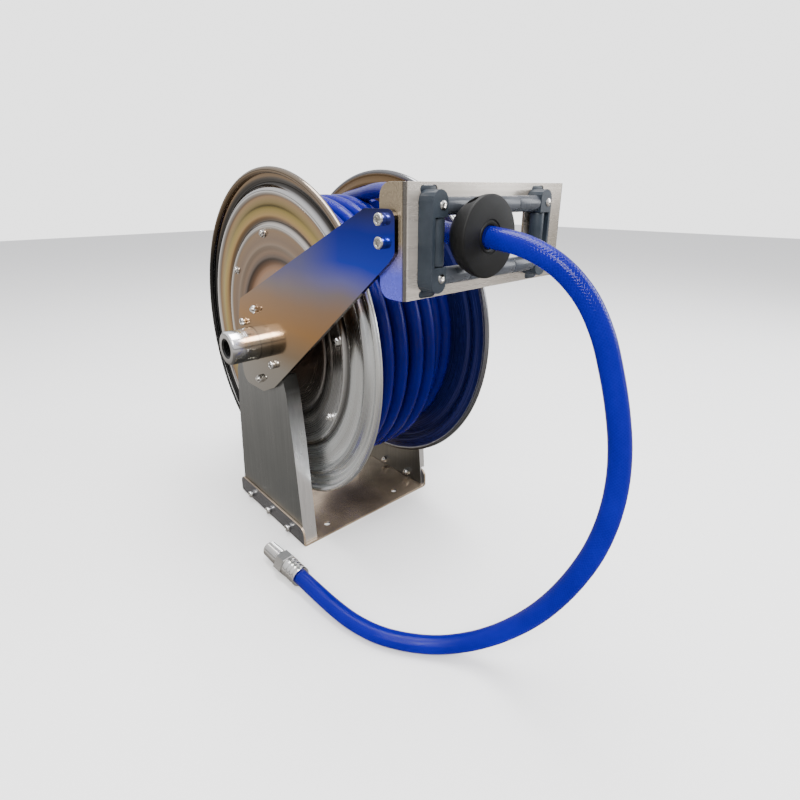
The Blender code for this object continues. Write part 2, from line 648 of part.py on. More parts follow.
def spring_arbor():
    """Fixed stub axle that holds the spring's inner end and carries the drum's right side."""
    shoulder = LEG_OUTER_X - SHEET - GAP - ARBOR_START
    end = LEG_OUTER_X + 14 * MM - ARBOR_START
    stations = ((0, ARBOR_RADIUS), (shoulder, ARBOR_RADIUS), (shoulder, ARBOR_THREAD),
                (end, ARBOR_THREAD))
    turned("spring_arbor", stations, Vector((ARBOR_START, 0, AXIS_HEIGHT)), (1, 0, 0),
           SATIN_STEEL, sides=24)
    nut_height = 9 * MM
    flats = 13 * MM
    nut = ((0, ARBOR_THREAD + GAP), (0, flats, "hex"), (nut_height, flats, "hex"),
           (nut_height, ARBOR_THREAD + GAP))
    turned("arbor_nut", nut, Vector((LEG_OUTER_X + GAP, 0, AXIS_HEIGHT)), (1, 0, 0),
           BRIGHT_STEEL, sides=24, hollow=True)


def power_spring():
    """Flat spiral spring around the arbor, inside the spring case."""
    steps = SPRING_TURNS * 16
    bm = bmesh.new()
    edges = []
    for step in range(steps + 1):
        angle = 2 * math.pi * SPRING_TURNS * step / steps
        middle = SPRING_INNER + (SPRING_OUTER - SPRING_INNER) * step / steps
        section = []
        for reach, x in ((middle - SPRING_THICKNESS / 2, SPRING_START),
                         (middle + SPRING_THICKNESS / 2, SPRING_START),
                         (middle + SPRING_THICKNESS / 2, SPRING_START + SPRING_WIDTH),
                         (middle - SPRING_THICKNESS / 2, SPRING_START + SPRING_WIDTH)):
            place = (x, reach * math.cos(angle), AXIS_HEIGHT + reach * math.sin(angle))
            section.append(bm.verts.new(place))
        edges.append(section)
    for before, after in zip(edges, edges[1:]):
        for index in range(4):
            following = (index + 1) % 4
            bm.faces.new((before[index], before[following], after[following], after[index]))
    bm.faces.new(edges[0])
    bm.faces.new(edges[-1])
    add_object("power_spring", bm, SATIN_STEEL, (SPRING_START, 0, AXIS_HEIGHT))


# ---------------------------------------------------------------- drum

def drum_disc(name, x, outward, hole, drum):
    """Side disc pressed from sheet, with raised rings and a rolled rim."""
    outer = [(-HUB_DISH, hole)] + [(offset * MM, radius * MM) for offset, radius in PRESSED_PROFILE]
    bead_middle = (BEAD / 2, DISC_RADIUS - BEAD)
    rim = arc(bead_middle, BEAD, 240, 575, 6)
    inner = [(offset - DISC_SHEET, radius) for offset, radius in reversed(outer)]
    turned(name, outer + rim + inner, Vector((x, 0, AXIS_HEIGHT)), (outward, 0, 0),
           POLISHED_STEEL, sides=40, hollow=True, parent=drum)


def drum_parts():
    """Everything that turns with the drum, parented to an empty on its axis."""
    drum = pivot("drum_axis", Vector((DRUM_X, 0, AXIS_HEIGHT)))
    drum_disc("disc_left", DRUM_X - DISC_OFFSET, -1, SHAFT_RADIUS + 2 * MM, drum)
    drum_disc("disc_right", DRUM_X + DISC_OFFSET, 1, SEAL_RADIUS + GAP, drum)
    core_inner = CORE_RADIUS - CORE_WALL
    length = 2 * CORE_HALF
    core = ((0, CORE_LIP), (0, CORE_RADIUS), (length, CORE_RADIUS), (length, CORE_LIP),
            (length - CORE_WALL, CORE_LIP), (length - CORE_WALL, core_inner),
            (CORE_WALL, core_inner), (CORE_WALL, CORE_LIP))
    drum_core = turned("drum_core", core, Vector((DRUM_X - CORE_HALF, 0, AXIS_HEIGHT)), (1, 0, 0),
                       SATIN_STEEL, sides=40, hollow=True, parent=drum)
    drill(drum_core, (ELBOW_X, 0, AXIS_HEIGHT + core_inner - 5 * MM), (0, 0, 1),
          ELBOW_RADIUS + 2 * GAP, CORE_WALL + 10 * MM)
    winding = tube_stations(CORE_RADIUS + 2 * GAP, WINDING_RADIUS, 2 * WINDING_HALF)
    turned("hose_winding", winding, Vector((DRUM_X - WINDING_HALF, 0, AXIS_HEIGHT)), (1, 0, 0),
           BLUE_HOSE, sides=40, hollow=True, parent=drum)
    disc_face = DRUM_X - DISC_OFFSET + HUB_DISH - GAP - SHAFT_START
    flange = 4.5 * MM
    shaft = ((0, SHAFT_BORE), (0, SHAFT_RADIUS), (disc_face - flange, SHAFT_RADIUS),
             (disc_face - flange, SHAFT_FLANGE), (disc_face, SHAFT_FLANGE),
             (disc_face, SHAFT_RADIUS), (SHAFT_END - SHAFT_START, SHAFT_RADIUS),
             (SHAFT_END - SHAFT_START, SHAFT_BORE))
    turned("drum_shaft", shaft, Vector((SHAFT_START, 0, AXIS_HEIGHT)), (1, 0, 0), SATIN_STEEL,
           sides=24, hollow=True, parent=drum)
    case_length = DRUM_X + DISC_OFFSET - HUB_DISH - DISC_SHEET - GAP - CASE_START
    case_inner = CASE_RADIUS - CASE_WALL
    case_hole = ARBOR_RADIUS + 2 * MM
    case = ((0, case_hole), (0, CASE_RADIUS), (case_length, CASE_RADIUS),
            (case_length, case_inner), (CASE_WALL, case_inner), (CASE_WALL, case_hole))
    turned("spring_case", case, Vector((CASE_START, 0, AXIS_HEIGHT)), (1, 0, 0), SATIN_STEEL,
           sides=32, hollow=True, parent=drum)
    bearing = tube_stations(ARBOR_RADIUS + RUNNING, SEAL_RADIUS, RIGHT_BEARING_LENGTH)
    turned("right_bearing", bearing, Vector((RIGHT_BEARING_START, 0, AXIS_HEIGHT)), (1, 0, 0),
           BRONZE, sides=24, hollow=True, parent=drum)
    ratchet_wheel(drum)
    elbow = hose_tube("hose_elbow", ELBOW_ROUTE, 14 * MM, BRIGHT_STEEL, ELBOW_RADIUS)
    elbow.parent = drum
    elbow.matrix_parent_inverse = Matrix.Translation(-drum.location)


def ratchet_wheel(drum):
    """Toothed wheel on the drum's shaft that the pawl latches into."""
    outline = []
    first = 14
    for tooth in range(RATCHET_TEETH):
        base = first + 360 * tooth / RATCHET_TEETH
        for turn, radius in ((0, RATCHET_ROOT), (1, RATCHET_RADIUS), (5, RATCHET_RADIUS),
                             (14, RATCHET_ROOT), (22, RATCHET_ROOT)):
            angle = math.radians(base + turn)
            outline.append((radius * math.cos(angle), AXIS_HEIGHT + radius * math.sin(angle)))
    bm = prism_mesh(outline, RATCHET_X, RATCHET_X + RATCHET_WIDTH, "X")
    wheel = add_object("ratchet_wheel", bm, SATIN_STEEL, (RATCHET_X, 0, AXIS_HEIGHT), drum)
    drill(wheel, (RATCHET_X - MM, 0, AXIS_HEIGHT), (1, 0, 0), SHAFT_RADIUS + GAP,
          RATCHET_WIDTH + 2 * MM, 32)


def pawl_parts():
    """Latch pawl on its pin, with a torsion spring round the pin's collar."""
    boss = 6 * MM
    outline = [(y * MM, z * MM) for y, z in PAWL_CORNERS]
    outline += arc((PAWL_Y, PAWL_Z), boss, 160, 350, 8)
    centre = Vector((RATCHET_X, PAWL_Y, PAWL_Z))
    bm = prism_mesh(outline, RATCHET_X, RATCHET_X + RATCHET_WIDTH, "X")
    pawl = add_object("latch_pawl", bm, SATIN_STEEL, centre)
    drill(pawl, centre - Vector((MM, 0, 0)), (1, 0, 0), PAWL_PIN_RADIUS + RUNNING,
          RATCHET_WIDTH + 2 * MM, 24)
    leg_inner = SHEET + GAP
    collar_end = RATCHET_X - GAP + LEG_OUTER_X
    pin = ((0, PAWL_PIN_RADIUS), (leg_inner, PAWL_PIN_RADIUS), (leg_inner, 5 * MM),
           (collar_end, 5 * MM), (collar_end, PAWL_PIN_RADIUS),
           (collar_end + RATCHET_WIDTH + 3 * MM, PAWL_PIN_RADIUS))
    turned("pawl_pin", pin, Vector((-LEG_OUTER_X, PAWL_Y, PAWL_Z)), (1, 0, 0), BRIGHT_STEEL,
           sides=24)
    coil = []
    per_turn = 8
    for step in range(2 * per_turn + 1):
        angle = 2 * math.pi * step / per_turn
        coil.append(((RATCHET_X - 8 * MM + 2.5 * MM * step / per_turn) / MM,
                     (PAWL_Y + 6.2 * MM * math.cos(angle)) / MM,
                     (PAWL_Z + 6.2 * MM * math.sin(angle)) / MM))
    hose_tube("pawl_spring", coil, 5 * MM, BRIGHT_STEEL, 0.6 * MM, fineness=2)


# ---------------------------------------------------------------- hose

def hose_parts():
    """Stop, strand from the drum to the guide, and the free hose with its end fitting."""
    dome = [(STOP_RADIUS * math.sin(math.radians(turn)), STOP_RADIUS * math.cos(math.radians(turn)))
            for turn in range(0, 70, 11)]
    bore = HOSE_RADIUS + 2 * GAP
    face = [(MM, bore), (0, bore + MM), (0, STOP_RADIUS - MM)]
    stations = face + dome[1:] + [(dome[-1][0], bore)]
    turned("hose_stop", stations, STOP_CENTRE, (0, 1, 0), BLACK_RUBBER, sides=28, hollow=True)
    spacing = 22 * MM
    hose_tube("hose_strand", STRAND_ROUTE, spacing, BLUE_HOSE, HOSE_RADIUS)
    hose_tube("free_hose", HOSE_ROUTE, spacing, BLUE_HOSE, HOSE_RADIUS)
    end = Vector(HOSE_ROUTE[-1]) * MM
    along = Vector((-0.045, 1, 0)).normalized()
    ferrule_length = 26 * MM
    ferrule = ((0, 11 * MM), (MM, 12 * MM), (6 * MM, 12 * MM), (7 * MM, 11.4 * MM),
               (12 * MM, 11.4 * MM), (13 * MM, 12 * MM), (ferrule_length, 12 * MM))
    turned("hose_ferrule", ferrule, end + along * 2 * GAP, along, BRIGHT_STEEL, sides=18)
    nipple = ((0, 12.2 * MM, "hex"), (15 * MM, 12.2 * MM, "hex"), (15 * MM, 9.5 * MM),
              (20 * MM, 9.5 * MM), (21 * MM, 10.2 * MM), (46 * MM, 9.4 * MM),
              (47 * MM, 8.4 * MM), (47 * MM, 6 * MM), (30 * MM, 6 * MM))
    turned("hose_fitting", nipple, end + along * (ferrule_length + 3 * GAP), along,
           BRIGHT_STEEL, sides=18)


# ---------------------------------------------------------------- build

def build():
    """Model the whole reel in an empty scene."""
    for existing in list(bpy.data.objects):
        bpy.data.objects.remove(existing)
    base_plate()
    left_leg()
    right_leg()
    base_bolts()
    guide_arm()
    hub_bolts()
    guide_bracket()
    guide_bolts()
    roller_block("roller_block_left", BLOCK_LEFT, 1)
    roller_block("roller_block_right", BLOCK_RIGHT, -1)
    rollers()
    block_screws()
    swivel_body()
    spring_arbor()
    power_spring()
    drum_parts()
    pawl_parts()
    hose_parts()


build()
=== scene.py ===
"""Looks of the spring-rewind hose reel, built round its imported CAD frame. Metres."""
import math

import bmesh
import bpy
from mathutils import Matrix, Vector


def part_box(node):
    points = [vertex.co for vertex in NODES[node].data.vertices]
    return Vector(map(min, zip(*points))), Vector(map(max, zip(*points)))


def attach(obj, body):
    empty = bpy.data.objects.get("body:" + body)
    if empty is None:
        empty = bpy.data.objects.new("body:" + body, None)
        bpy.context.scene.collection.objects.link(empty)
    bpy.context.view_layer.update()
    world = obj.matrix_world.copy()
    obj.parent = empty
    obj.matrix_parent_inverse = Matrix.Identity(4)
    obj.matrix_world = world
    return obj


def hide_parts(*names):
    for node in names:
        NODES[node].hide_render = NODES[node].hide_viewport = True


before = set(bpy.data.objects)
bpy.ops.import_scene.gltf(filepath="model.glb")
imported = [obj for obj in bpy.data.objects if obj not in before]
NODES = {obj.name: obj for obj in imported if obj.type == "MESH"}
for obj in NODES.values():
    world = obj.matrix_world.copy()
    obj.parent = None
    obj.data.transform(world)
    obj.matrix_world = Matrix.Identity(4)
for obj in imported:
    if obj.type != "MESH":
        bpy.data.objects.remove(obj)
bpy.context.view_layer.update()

MM = 0.001
DRUM_LOW, DRUM_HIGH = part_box("drum_core")
AXIS_Z = (DRUM_LOW.z + DRUM_HIGH.z) / 2
HOSE_RADIUS = 9 * MM
INNER_LAYER = 159.5 * MM            # middle of the hose in each layer on the drum
OUTER_LAYER = 173.5 * MM
INNER_PITCH = 18.5 * MM             # from turn to turn of the inner layer
OUTER_TURNS = 5.0
OUTER_SPARE = 30 * MM               # what the outer layer leaves free at the right disc
BRAID_PER_METRE = 360.0
BRAID_STARTS = 18.0
DISC_RADIUS = 215 * MM
DISC_BORES = {"left": 14 * MM, "right": 16.3 * MM}
DISC_BOLT_CIRCLE = 137 * MM
BRACKET_SHEET = 2.5 * MM
LEG_SHEET = 3 * MM
SLOT_XS = {"left": -84.5 * MM, "right": 70.5 * MM}
SLOT_HEIGHTS = (368 * MM, 453.5 * MM)
STOP_RADIUS = 33.5 * MM
M6_SHANK = 2.8 * MM                 # radii of the bolts
M5_SHANK = 2.4 * MM
MIX_FACTOR, MIX_FIRST, MIX_SECOND, MIX_RESULT = 0, 6, 7, 2      # colour sockets of a mix node


# ---------------------------------------------------------------- camera

def add_camera():
    """Camera at the viewing angle of the original view: front left, slightly above."""
    place = (-0.3948, -0.5889, 0.4513)
    yaw, pitch, roll = math.radians(40.784), math.radians(19.464), math.radians(-0.312)
    forward = Vector((math.sin(yaw) * math.cos(pitch), math.cos(yaw) * math.cos(pitch),
                      -math.sin(pitch)))
    right = forward.cross(Vector((0, 0, 1))).normalized()
    up = right.cross(forward)
    rolled_right = right * math.cos(roll) + up * math.sin(roll)
    rolled_up = -right * math.sin(roll) + up * math.cos(roll)
    data = bpy.data.cameras.new("camera")
    data.lens = 22.59
    data.sensor_width = 36
    data.shift_x = 0.0163
    data.shift_y = -0.0378
    camera = bpy.data.objects.new("camera", data)
    bpy.context.collection.objects.link(camera)
    turn = Matrix((rolled_right, rolled_up, -forward)).transposed().to_4x4()
    camera.matrix_world = Matrix.Translation(place) @ turn
    bpy.context.scene.camera = camera


# ---------------------------------------------------------------- node helpers

class Look:
    """A material under construction: short calls that add and link shader nodes."""

    def __init__(self, name, roughness=0.4, metallic=0.0, colour=(0.5, 0.5, 0.5)):
        self.material = bpy.data.materials.new(name)
        self.material.use_nodes = True
        self.tree = self.material.node_tree
        self.shader = self.tree.nodes["Principled BSDF"]
        self.shader.inputs["Base Color"].default_value = (*colour, 1)
        self.shader.inputs["Roughness"].default_value = roughness
        self.shader.inputs["Metallic"].default_value = metallic

    def add(self, kind, **settings):
        """Add a node; settings are its properties, or its inputs when they are named so."""
        node = self.tree.nodes.new(kind)
        for key, value in settings.items():
            if key in node.inputs:
                self.set(node, key, value)
            else:
                setattr(node, key, value)
        return node

    def set(self, node, key, value):
        """Set or link one input."""
        if isinstance(value, bpy.types.NodeSocket):
            self.tree.links.new(value, node.inputs[key])
        else:
            node.inputs[key].default_value = value

    def place(self, scale=(1, 1, 1), source="Object"):
        """Coordinates in the frame's metres, stretched by scale."""
        coordinates = self.add("ShaderNodeTexCoord")
        mapping = self.add("ShaderNodeMapping", Scale=scale)
        self.set(mapping, "Vector", coordinates.outputs[source])
        return mapping.outputs["Vector"]

    def split(self, vector):
        """X, Y and Z of a vector, as named outputs."""
        node = self.add("ShaderNodeSeparateXYZ")
        self.set(node, "Vector", vector)
        return node.outputs

    def facing(self):
        """X, Y and Z of the way a face points."""
        return self.split(self.add("ShaderNodeNewGeometry").outputs["True Normal"])

    def noise(self, vector, scale, detail, roughness=0.55):
        """Cloudy values about 0.5."""
        node = self.add("ShaderNodeTexNoise", Scale=scale, Detail=detail, Roughness=roughness)
        self.set(node, "Vector", vector)
        return node.outputs["Fac"]

    def ramp(self, value, stops):
        """Map a value through (position, colour) stops."""
        node = self.add("ShaderNodeValToRGB")
        self.set(node, "Fac", value)
        elements = node.color_ramp.elements
        while len(elements) < len(stops):
            elements.new(1.0)
        for element, (position, colour) in zip(elements, stops):
            element.position = position
            element.color = (*colour, 1)
        return node.outputs["Color"]

    def span(self, value, low, high, to_low, to_high):
        """Map low..high straight onto to_low..to_high, and hold the ends."""
        node = self.add("ShaderNodeMapRange")
        for key, number in (("From Min", low), ("From Max", high), ("To Min", to_low),
                            ("To Max", to_high)):
            node.inputs[key].default_value = number
        self.set(node, "Value", value)
        return node.outputs["Result"]

    def math(self, operation, first, second=0.0):
        """One sum on numbers or sockets."""
        node = self.add("ShaderNodeMath", operation=operation)
        for index, value in enumerate((first, second)):
            if isinstance(value, bpy.types.NodeSocket):
                self.tree.links.new(value, node.inputs[index])
            else:
                node.inputs[index].default_value = value
        return node.outputs["Value"]

    def mix(self, factor, first, second):
        """Blend from the first colour to the second."""
        node = self.add("ShaderNodeMix", data_type="RGBA")
        for index, value in ((MIX_FACTOR, factor), (MIX_FIRST, first), (MIX_SECOND, second)):
            socket = node.inputs[index]
            if isinstance(value, bpy.types.NodeSocket):
                self.tree.links.new(value, socket)
            elif isinstance(value, tuple):
                socket.default_value = (*value, 1)
            else:
                socket.default_value = value
        return node.outputs[MIX_RESULT]

    def bump(self, height, strength, distance):
        """Relief, without a change of shape."""
        node = self.add("ShaderNodeBump", Strength=strength, Distance=distance)
        self.set(node, "Height", height)
        self.set(self.shader, "Normal", node.outputs["Normal"])

    def distance(self, first, second):
        """Length of a pair of values that stand square to each other."""
        return self.math("SQRT", self.math("ADD", self.math("MULTIPLY", first, first),
                                           self.math("MULTIPLY", second, second)))

    def finish(self, colour, roughness):
        """Link the two main values and hand over the material."""
        self.set(self.shader, "Base Color", colour)
        self.set(self.shader, "Roughness", roughness)
        return self.material


# ---------------------------------------------------------------- materials

def sheet_look(look, colour, roughness, grain):
    """Shared grain of the legs, base and bracket: returns colour and roughness sockets."""
    fine = look.noise(look.place(grain), 1.0, 3.0)
    smudge = look.noise(look.place(), 14.0, 5.0)
    base = look.mix(look.span(fine, 0.3, 0.7, 0.0, 0.16), colour, (0.0, 0.0, 0.0))
    base = look.mix(look.span(smudge, 0.4, 0.7, 0.0, 0.12), base, (0.0, 0.0, 0.0))
    look.bump(fine, 0.03, 0.0002)
    return base, look.math("ADD", look.span(fine, 0.3, 0.7, -0.03, 0.03),
                           look.span(smudge, 0.3, 0.7, roughness - 0.04, roughness + 0.05))


def leg_steel():
    """Satin sheet, a little darker towards the bottom; what doesn't face sideways, such as the flange,
    carries a painted reflection, dark above and bright below.
    """
    look = Look("leg_steel", metallic=1.0)
    facing, place = look.facing(), look.split(look.place())
    side = look.mix(look.span(place["Z"], 0.08, 0.28, 0.0, 1.0), (0.25, 0.265, 0.268),
                    (0.34, 0.35, 0.352))
    # Painted reflection on the flange and other faces that don't face sideways: bright low down, dark
    # higher up.
    front = look.mix(look.span(place["Z"], 0.12, 0.22, 0.0, 1.0), (1.0, 1.0, 1.0),
                     (0.07, 0.07, 0.065))
    turned = look.span(look.math("ABSOLUTE", facing["X"]), 0.6, 0.3, 0.0, 1.0)
    base, rough = sheet_look(look, look.mix(turned, side, front), 0.30, (300, 300, 5))
    return look.finish(base, rough)


def base_steel():
    """Base sheet with painted reflections: brown tones in blotches on top, and upstands painted colder
    and darker as painted shade.
    """
    look = Look("base_steel", metallic=0.8)
    # Painted reflection: blotches of brown tone across the top.
    shade = look.span(look.noise(look.place(), 9.0, 3.0), 0.35, 0.65, 0.0, 1.0)
    top = look.mix(shade, (0.85, 0.68, 0.51), (0.34, 0.26, 0.19))
    # Painted shade: faces that point sideways, the upstands, are painted a colder dark grey.
    turned = look.span(look.math("ABSOLUTE", look.facing()["X"]), 0.5, 0.8, 0.0, 1.0)
    base, rough = sheet_look(look, look.mix(turned, top, (0.14, 0.14, 0.15)), 0.20, (6, 260, 260))
    return look.finish(base, rough)


def bracket_steel(fold_x, fold_y):
    """Champagne sheet, darker to the right and warmer on the left side, with painted reflections: a dark
    line at the left fold and the hose's blue low on that side.
    """
    look = Look("bracket_steel", metallic=0.62)
    place = look.split(look.place())
    side = look.span(look.facing()["X"], -0.7, -0.9, 0.0, 1.0)
    low = look.span(place["Z"], 0.412, 0.385, 0.0, 1.0)
    tone = look.mix(look.span(place["X"], 0.0, 0.11, 0.0, 1.0), (0.60, 0.55, 0.49),
                    (0.30, 0.265, 0.22))
    tone = look.mix(side, tone, (0.33, 0.265, 0.18))
    # Painted reflection: the hose's blue, low on the left side.
    tone = look.mix(look.math("MULTIPLY", look.math("MULTIPLY", side, low), 0.85), tone,
                    (0.08, 0.10, 0.85))
    # Painted reflection: a dark line along the left fold.
    away = look.distance(look.math("SUBTRACT", place["X"], fold_x),
                         look.math("SUBTRACT", place["Y"], fold_y))
    tone = look.mix(look.span(away, 0.0026, 0.0034, 0.9, 0.0), tone, (0.06, 0.055, 0.05))
    base, rough = sheet_look(look, tone, 0.26, (5, 260, 260))
    return look.finish(base, rough)


def arm_steel():
    """Mirror-polished plate with painted reflections: warm tones low down, the hose's blue along its
    upper end.
    """
    look = Look("arm_steel", metallic=1.0)
    coordinates = look.place()
    place = look.split(coordinates)
    wobble = look.math("MULTIPLY", look.math("SUBTRACT", look.noise(coordinates, 7.0, 2.0), 0.5), 0.03)
    # Painted reflections of the room and the hose, by height and by how far forward.
    share = look.span(look.math("ADD", place["Z"], wobble), 0.20, 0.44, 0.0, 1.0)
    lower = ((0.0, (0.46, 0.45, 0.42)), (0.20, (0.40, 0.37, 0.32)), (0.32, (0.32, 0.23, 0.14)),
             (0.44, (0.42, 0.23, 0.09)), (0.56, (0.33, 0.21, 0.13)), (0.64, (0.24, 0.20, 0.21)))
    back = look.ramp(share, lower + ((0.74, (0.15, 0.15, 0.32)), (0.92, (0.14, 0.15, 0.30))))
    front = look.ramp(share, lower + ((0.70, (0.16, 0.16, 0.40)), (0.78, (0.025, 0.045, 0.52)),
                                      (0.90, (0.022, 0.035, 0.44)), (0.98, (0.09, 0.10, 0.34))))
    forward = look.span(look.math("ADD", place["Y"], wobble), -0.125, -0.200, 0.0, 1.0)
    colour = look.mix(forward, back, front)
    fine = look.noise(look.place((500, 6, 6)), 1.0, 3.0)
    smudge = look.noise(coordinates, 30.0, 5.0)
    rough = look.math("ADD", look.span(smudge, 0.3, 0.7, 0.07, 0.13),
                      look.span(fine, 0.3, 0.7, -0.01, 0.01))
    look.bump(look.noise(coordinates, 9.0, 2.0), 0.06, 0.002)
    facing = look.facing()
    edge = look.span(look.math("ABSOLUTE", facing["X"]), 0.5, 0.9, 1.0, 0.0)
    colour = look.mix(edge, colour, (0.22, 0.20, 0.18))
    # Painted shadow: the front end edge is painted near black.
    colour = look.mix(look.span(facing["Y"], -0.93, -0.99, 0.0, 1.0), colour, (0.012, 0.012, 0.012))
    return look.finish(colour, rough)


def disc_steel(name, outward):
    """Spun and polished disc with painted reflections: warm rings above, cooler silver below, painted
    highlights and shade on the pressed rings, and painted shade with the hose's dark blue on the inner
    face towards the hose.
    """
    look = Look(name, metallic=1.0)
    coordinates = look.add("ShaderNodeTexCoord").outputs["Object"]
    moved = look.add("ShaderNodeVectorMath", operation="SUBTRACT")
    look.set(moved, 0, coordinates)
    moved.inputs[1].default_value = (0, 0, AXIS_Z)
    flat = look.add("ShaderNodeVectorMath", operation="MULTIPLY")
    look.set(flat, 0, moved.outputs[0])
    flat.inputs[1].default_value = (0, 1, 1)
    length = look.add("ShaderNodeVectorMath", operation="LENGTH")
    look.set(length, 0, flat.outputs[0])
    radius = length.outputs["Value"]
    rings = look.add("ShaderNodeTexNoise", noise_dimensions="1D", Scale=1.0, Detail=3.0)
    look.set(rings, "W", look.math("MULTIPLY", radius, 900.0))
    bands = look.add("ShaderNodeTexNoise", noise_dimensions="1D", Scale=1.0, Detail=2.0)
    look.set(bands, "W", look.math("MULTIPLY", radius, 90.0))
    share = look.span(radius, 0.0, DISC_RADIUS, 0.0, 1.0)
    # Painted reflections in rings, with painted highlights on the ridges and painted shade in the
    # grooves.
    warm = look.ramp(share, (
        (0.0, (0.46, 0.27, 0.17)), (0.455, (0.42, 0.25, 0.16)), (0.485, (0.08, 0.06, 0.05)),
        (0.52, (0.27, 0.18, 0.125)), (0.56, (0.38, 0.29, 0.22)), (0.60, (0.28, 0.19, 0.13)),
        (0.655, (0.34, 0.24, 0.16)), (0.672, (0.85, 0.83, 0.80)), (0.690, (0.62, 0.56, 0.50)),
        (0.702, (0.05, 0.04, 0.035)), (0.725, (0.44, 0.28, 0.14)), (0.78, (0.55, 0.42, 0.12)),
        (0.845, (0.36, 0.23, 0.13)), (0.862, (0.80, 0.79, 0.78)), (0.885, (0.70, 0.69, 0.68)),
        (0.902, (0.05, 0.045, 0.04)), (0.935, (0.06, 0.055, 0.05)), (0.955, (0.30, 0.20, 0.11)),
        (1.0, (0.24, 0.19, 0.14))))
    cool = look.ramp(share, (
        (0.0, (0.30, 0.28, 0.26)), (0.46, (0.26, 0.25, 0.24)), (0.50, (0.08, 0.075, 0.07)),
        (0.54, (0.55, 0.54, 0.53)), (0.63, (0.55, 0.55, 0.55)), (0.672, (0.85, 0.86, 0.86)),
        (0.700, (0.05, 0.05, 0.05)), (0.725, (0.72, 0.75, 0.76)), (0.845, (0.84, 0.87, 0.88)),
        (0.870, (0.50, 0.52, 0.53)), (0.90, (0.80, 0.83, 0.84)), (1.0, (0.86, 0.88, 0.88))))
    # Painted reflection: the part below and in front of the axis turns cooler silver.
    slant = look.add("ShaderNodeVectorMath", operation="DOT_PRODUCT")
    look.set(slant, 0, flat.outputs[0])
    slant.inputs[1].default_value = (0, -2.9, -3.6)
    low = look.span(slant.outputs["Value"], -0.05, 0.45, 0.0, 1.0)
    colour = look.mix(low, warm, cool)
    colour = look.mix(look.span(bands.outputs["Fac"], 0.35, 0.65, 0.0, 0.22), colour,
                      (0.30, 0.29, 0.28))
    # Painted shade on the inner face under the hose, with a painted reflection of the hose: navy lower,
    # warm brown near the top.
    inside = look.span(look.math("MULTIPLY", look.facing()["X"], outward), 0.0, -0.3, 0.0, 1.0)
    covered = look.math("MULTIPLY", inside, look.span(radius, 0.2085, 0.2115, 1.0, 0.0))
    place = look.split(flat.outputs[0])
    shade = look.mix(look.span(place["Z"], 0.14, 0.18, 0.0, 1.0), (0.010, 0.013, 0.085),
                     (0.13, 0.078, 0.034))
    colour = look.mix(covered, colour, shade)
    if outward > 0:
        colour = look.mix(look.span(share, 0.972, 0.982, 0.0, 1.0), colour, (0.22, 0.22, 0.23))
    else:
        # Painted shade: the outer face goes dark near the rim, behind and low down.
        behind = look.span(place["Y"], 0.02, 0.15, 0.0, 1.0)
        beneath = look.span(place["Z"], 0.17, 0.08, 0.0, 1.0)
        dim = look.math("MULTIPLY", behind, beneath)
        dim = look.math("MULTIPLY", dim, look.span(share, 0.88, 0.92, 0.0, 1.0))
        colour = look.mix(dim, colour, (0.05, 0.05, 0.05))
    look.set(look.shader, "Metallic", look.span(covered, 0.0, 1.0, 1.0, 0.6))
    rough = look.math("ADD", look.span(rings.outputs["Fac"], 0.3, 0.7, 0.10, 0.18),
                      look.span(low, 0.0, 1.0, 0.0, 0.14))
    look.bump(rings.outputs["Fac"], 0.035, 0.0002)
    look.shader.inputs["Anisotropic"].default_value = 0.5
    tangent = look.add("ShaderNodeTangent", direction_type="RADIAL", axis="X")
    look.set(look.shader, "Tangent", tangent.outputs["Tangent"])
    return look.finish(colour, rough)


def bright_steel(name, colour=(0.72, 0.71, 0.69), roughness=0.16):
    """Machined stainless for bolts, pins and fittings."""
    look = Look(name, metallic=1.0)
    marks = look.noise(look.place(), 260.0, 3.0)
    tone = look.noise(look.place(), 40.0, 2.0)
    base = look.mix(look.span(tone, 0.35, 0.65, 0.0, 0.4), colour,
                    tuple(value * 0.8 for value in colour))
    look.bump(marks, 0.03, 0.0001)
    return look.finish(base, look.span(marks, 0.3, 0.7, roughness - 0.04, roughness + 0.06))


def turned_steel():
    """Turned stainless of the inlet, with a painted highlight white along the top and painted shade
    underneath and in the mouth.
    """
    look = Look("turned_steel", metallic=1.0)
    marks = look.noise(look.place((900, 3, 3)), 1.0, 3.0)
    # Painted highlight on faces that point up, painted shade on faces that point down.
    along_top = look.ramp(look.span(look.facing()["Z"], -1.0, 1.0, 0.0, 1.0), (
        (0.0, (0.24, 0.24, 0.23)), (0.42, (0.40, 0.40, 0.39)), (0.55, (0.66, 0.66, 0.67)),
        (0.75, (1.0, 1.0, 1.0)), (1.0, (1.0, 1.0, 1.0))))
    place = look.split(look.place())
    reach = look.distance(place["Y"], look.math("SUBTRACT", place["Z"], AXIS_Z))
    # Painted shade inside the mouth.
    base = look.mix(look.span(reach, 0.0128, 0.0138, 1.0, 0.0), along_top, (0.05, 0.05, 0.05))
    look.bump(marks, 0.03, 0.0001)
    return look.finish(base, look.span(marks, 0.3, 0.7, 0.13, 0.22))


def moulded_plastic(name, colour, roughness, speck):
    """Moulded plastic with a slight grain."""
    look = Look(name)
    grain = look.noise(look.place(), 900.0, 3.0)
    tone = look.noise(look.place(), 45.0, 3.0)
    base = look.mix(look.span(tone, 0.35, 0.65, 0.0, 0.6), colour,
                    tuple(min(1.0, value * 1.35 + 0.01) for value in colour))
    look.bump(grain, speck, 0.0002)
    look.shader.inputs["Specular IOR Level"].default_value = 0.3
    return look.finish(base, look.span(tone, 0.3, 0.7, roughness - 0.05, roughness + 0.1))


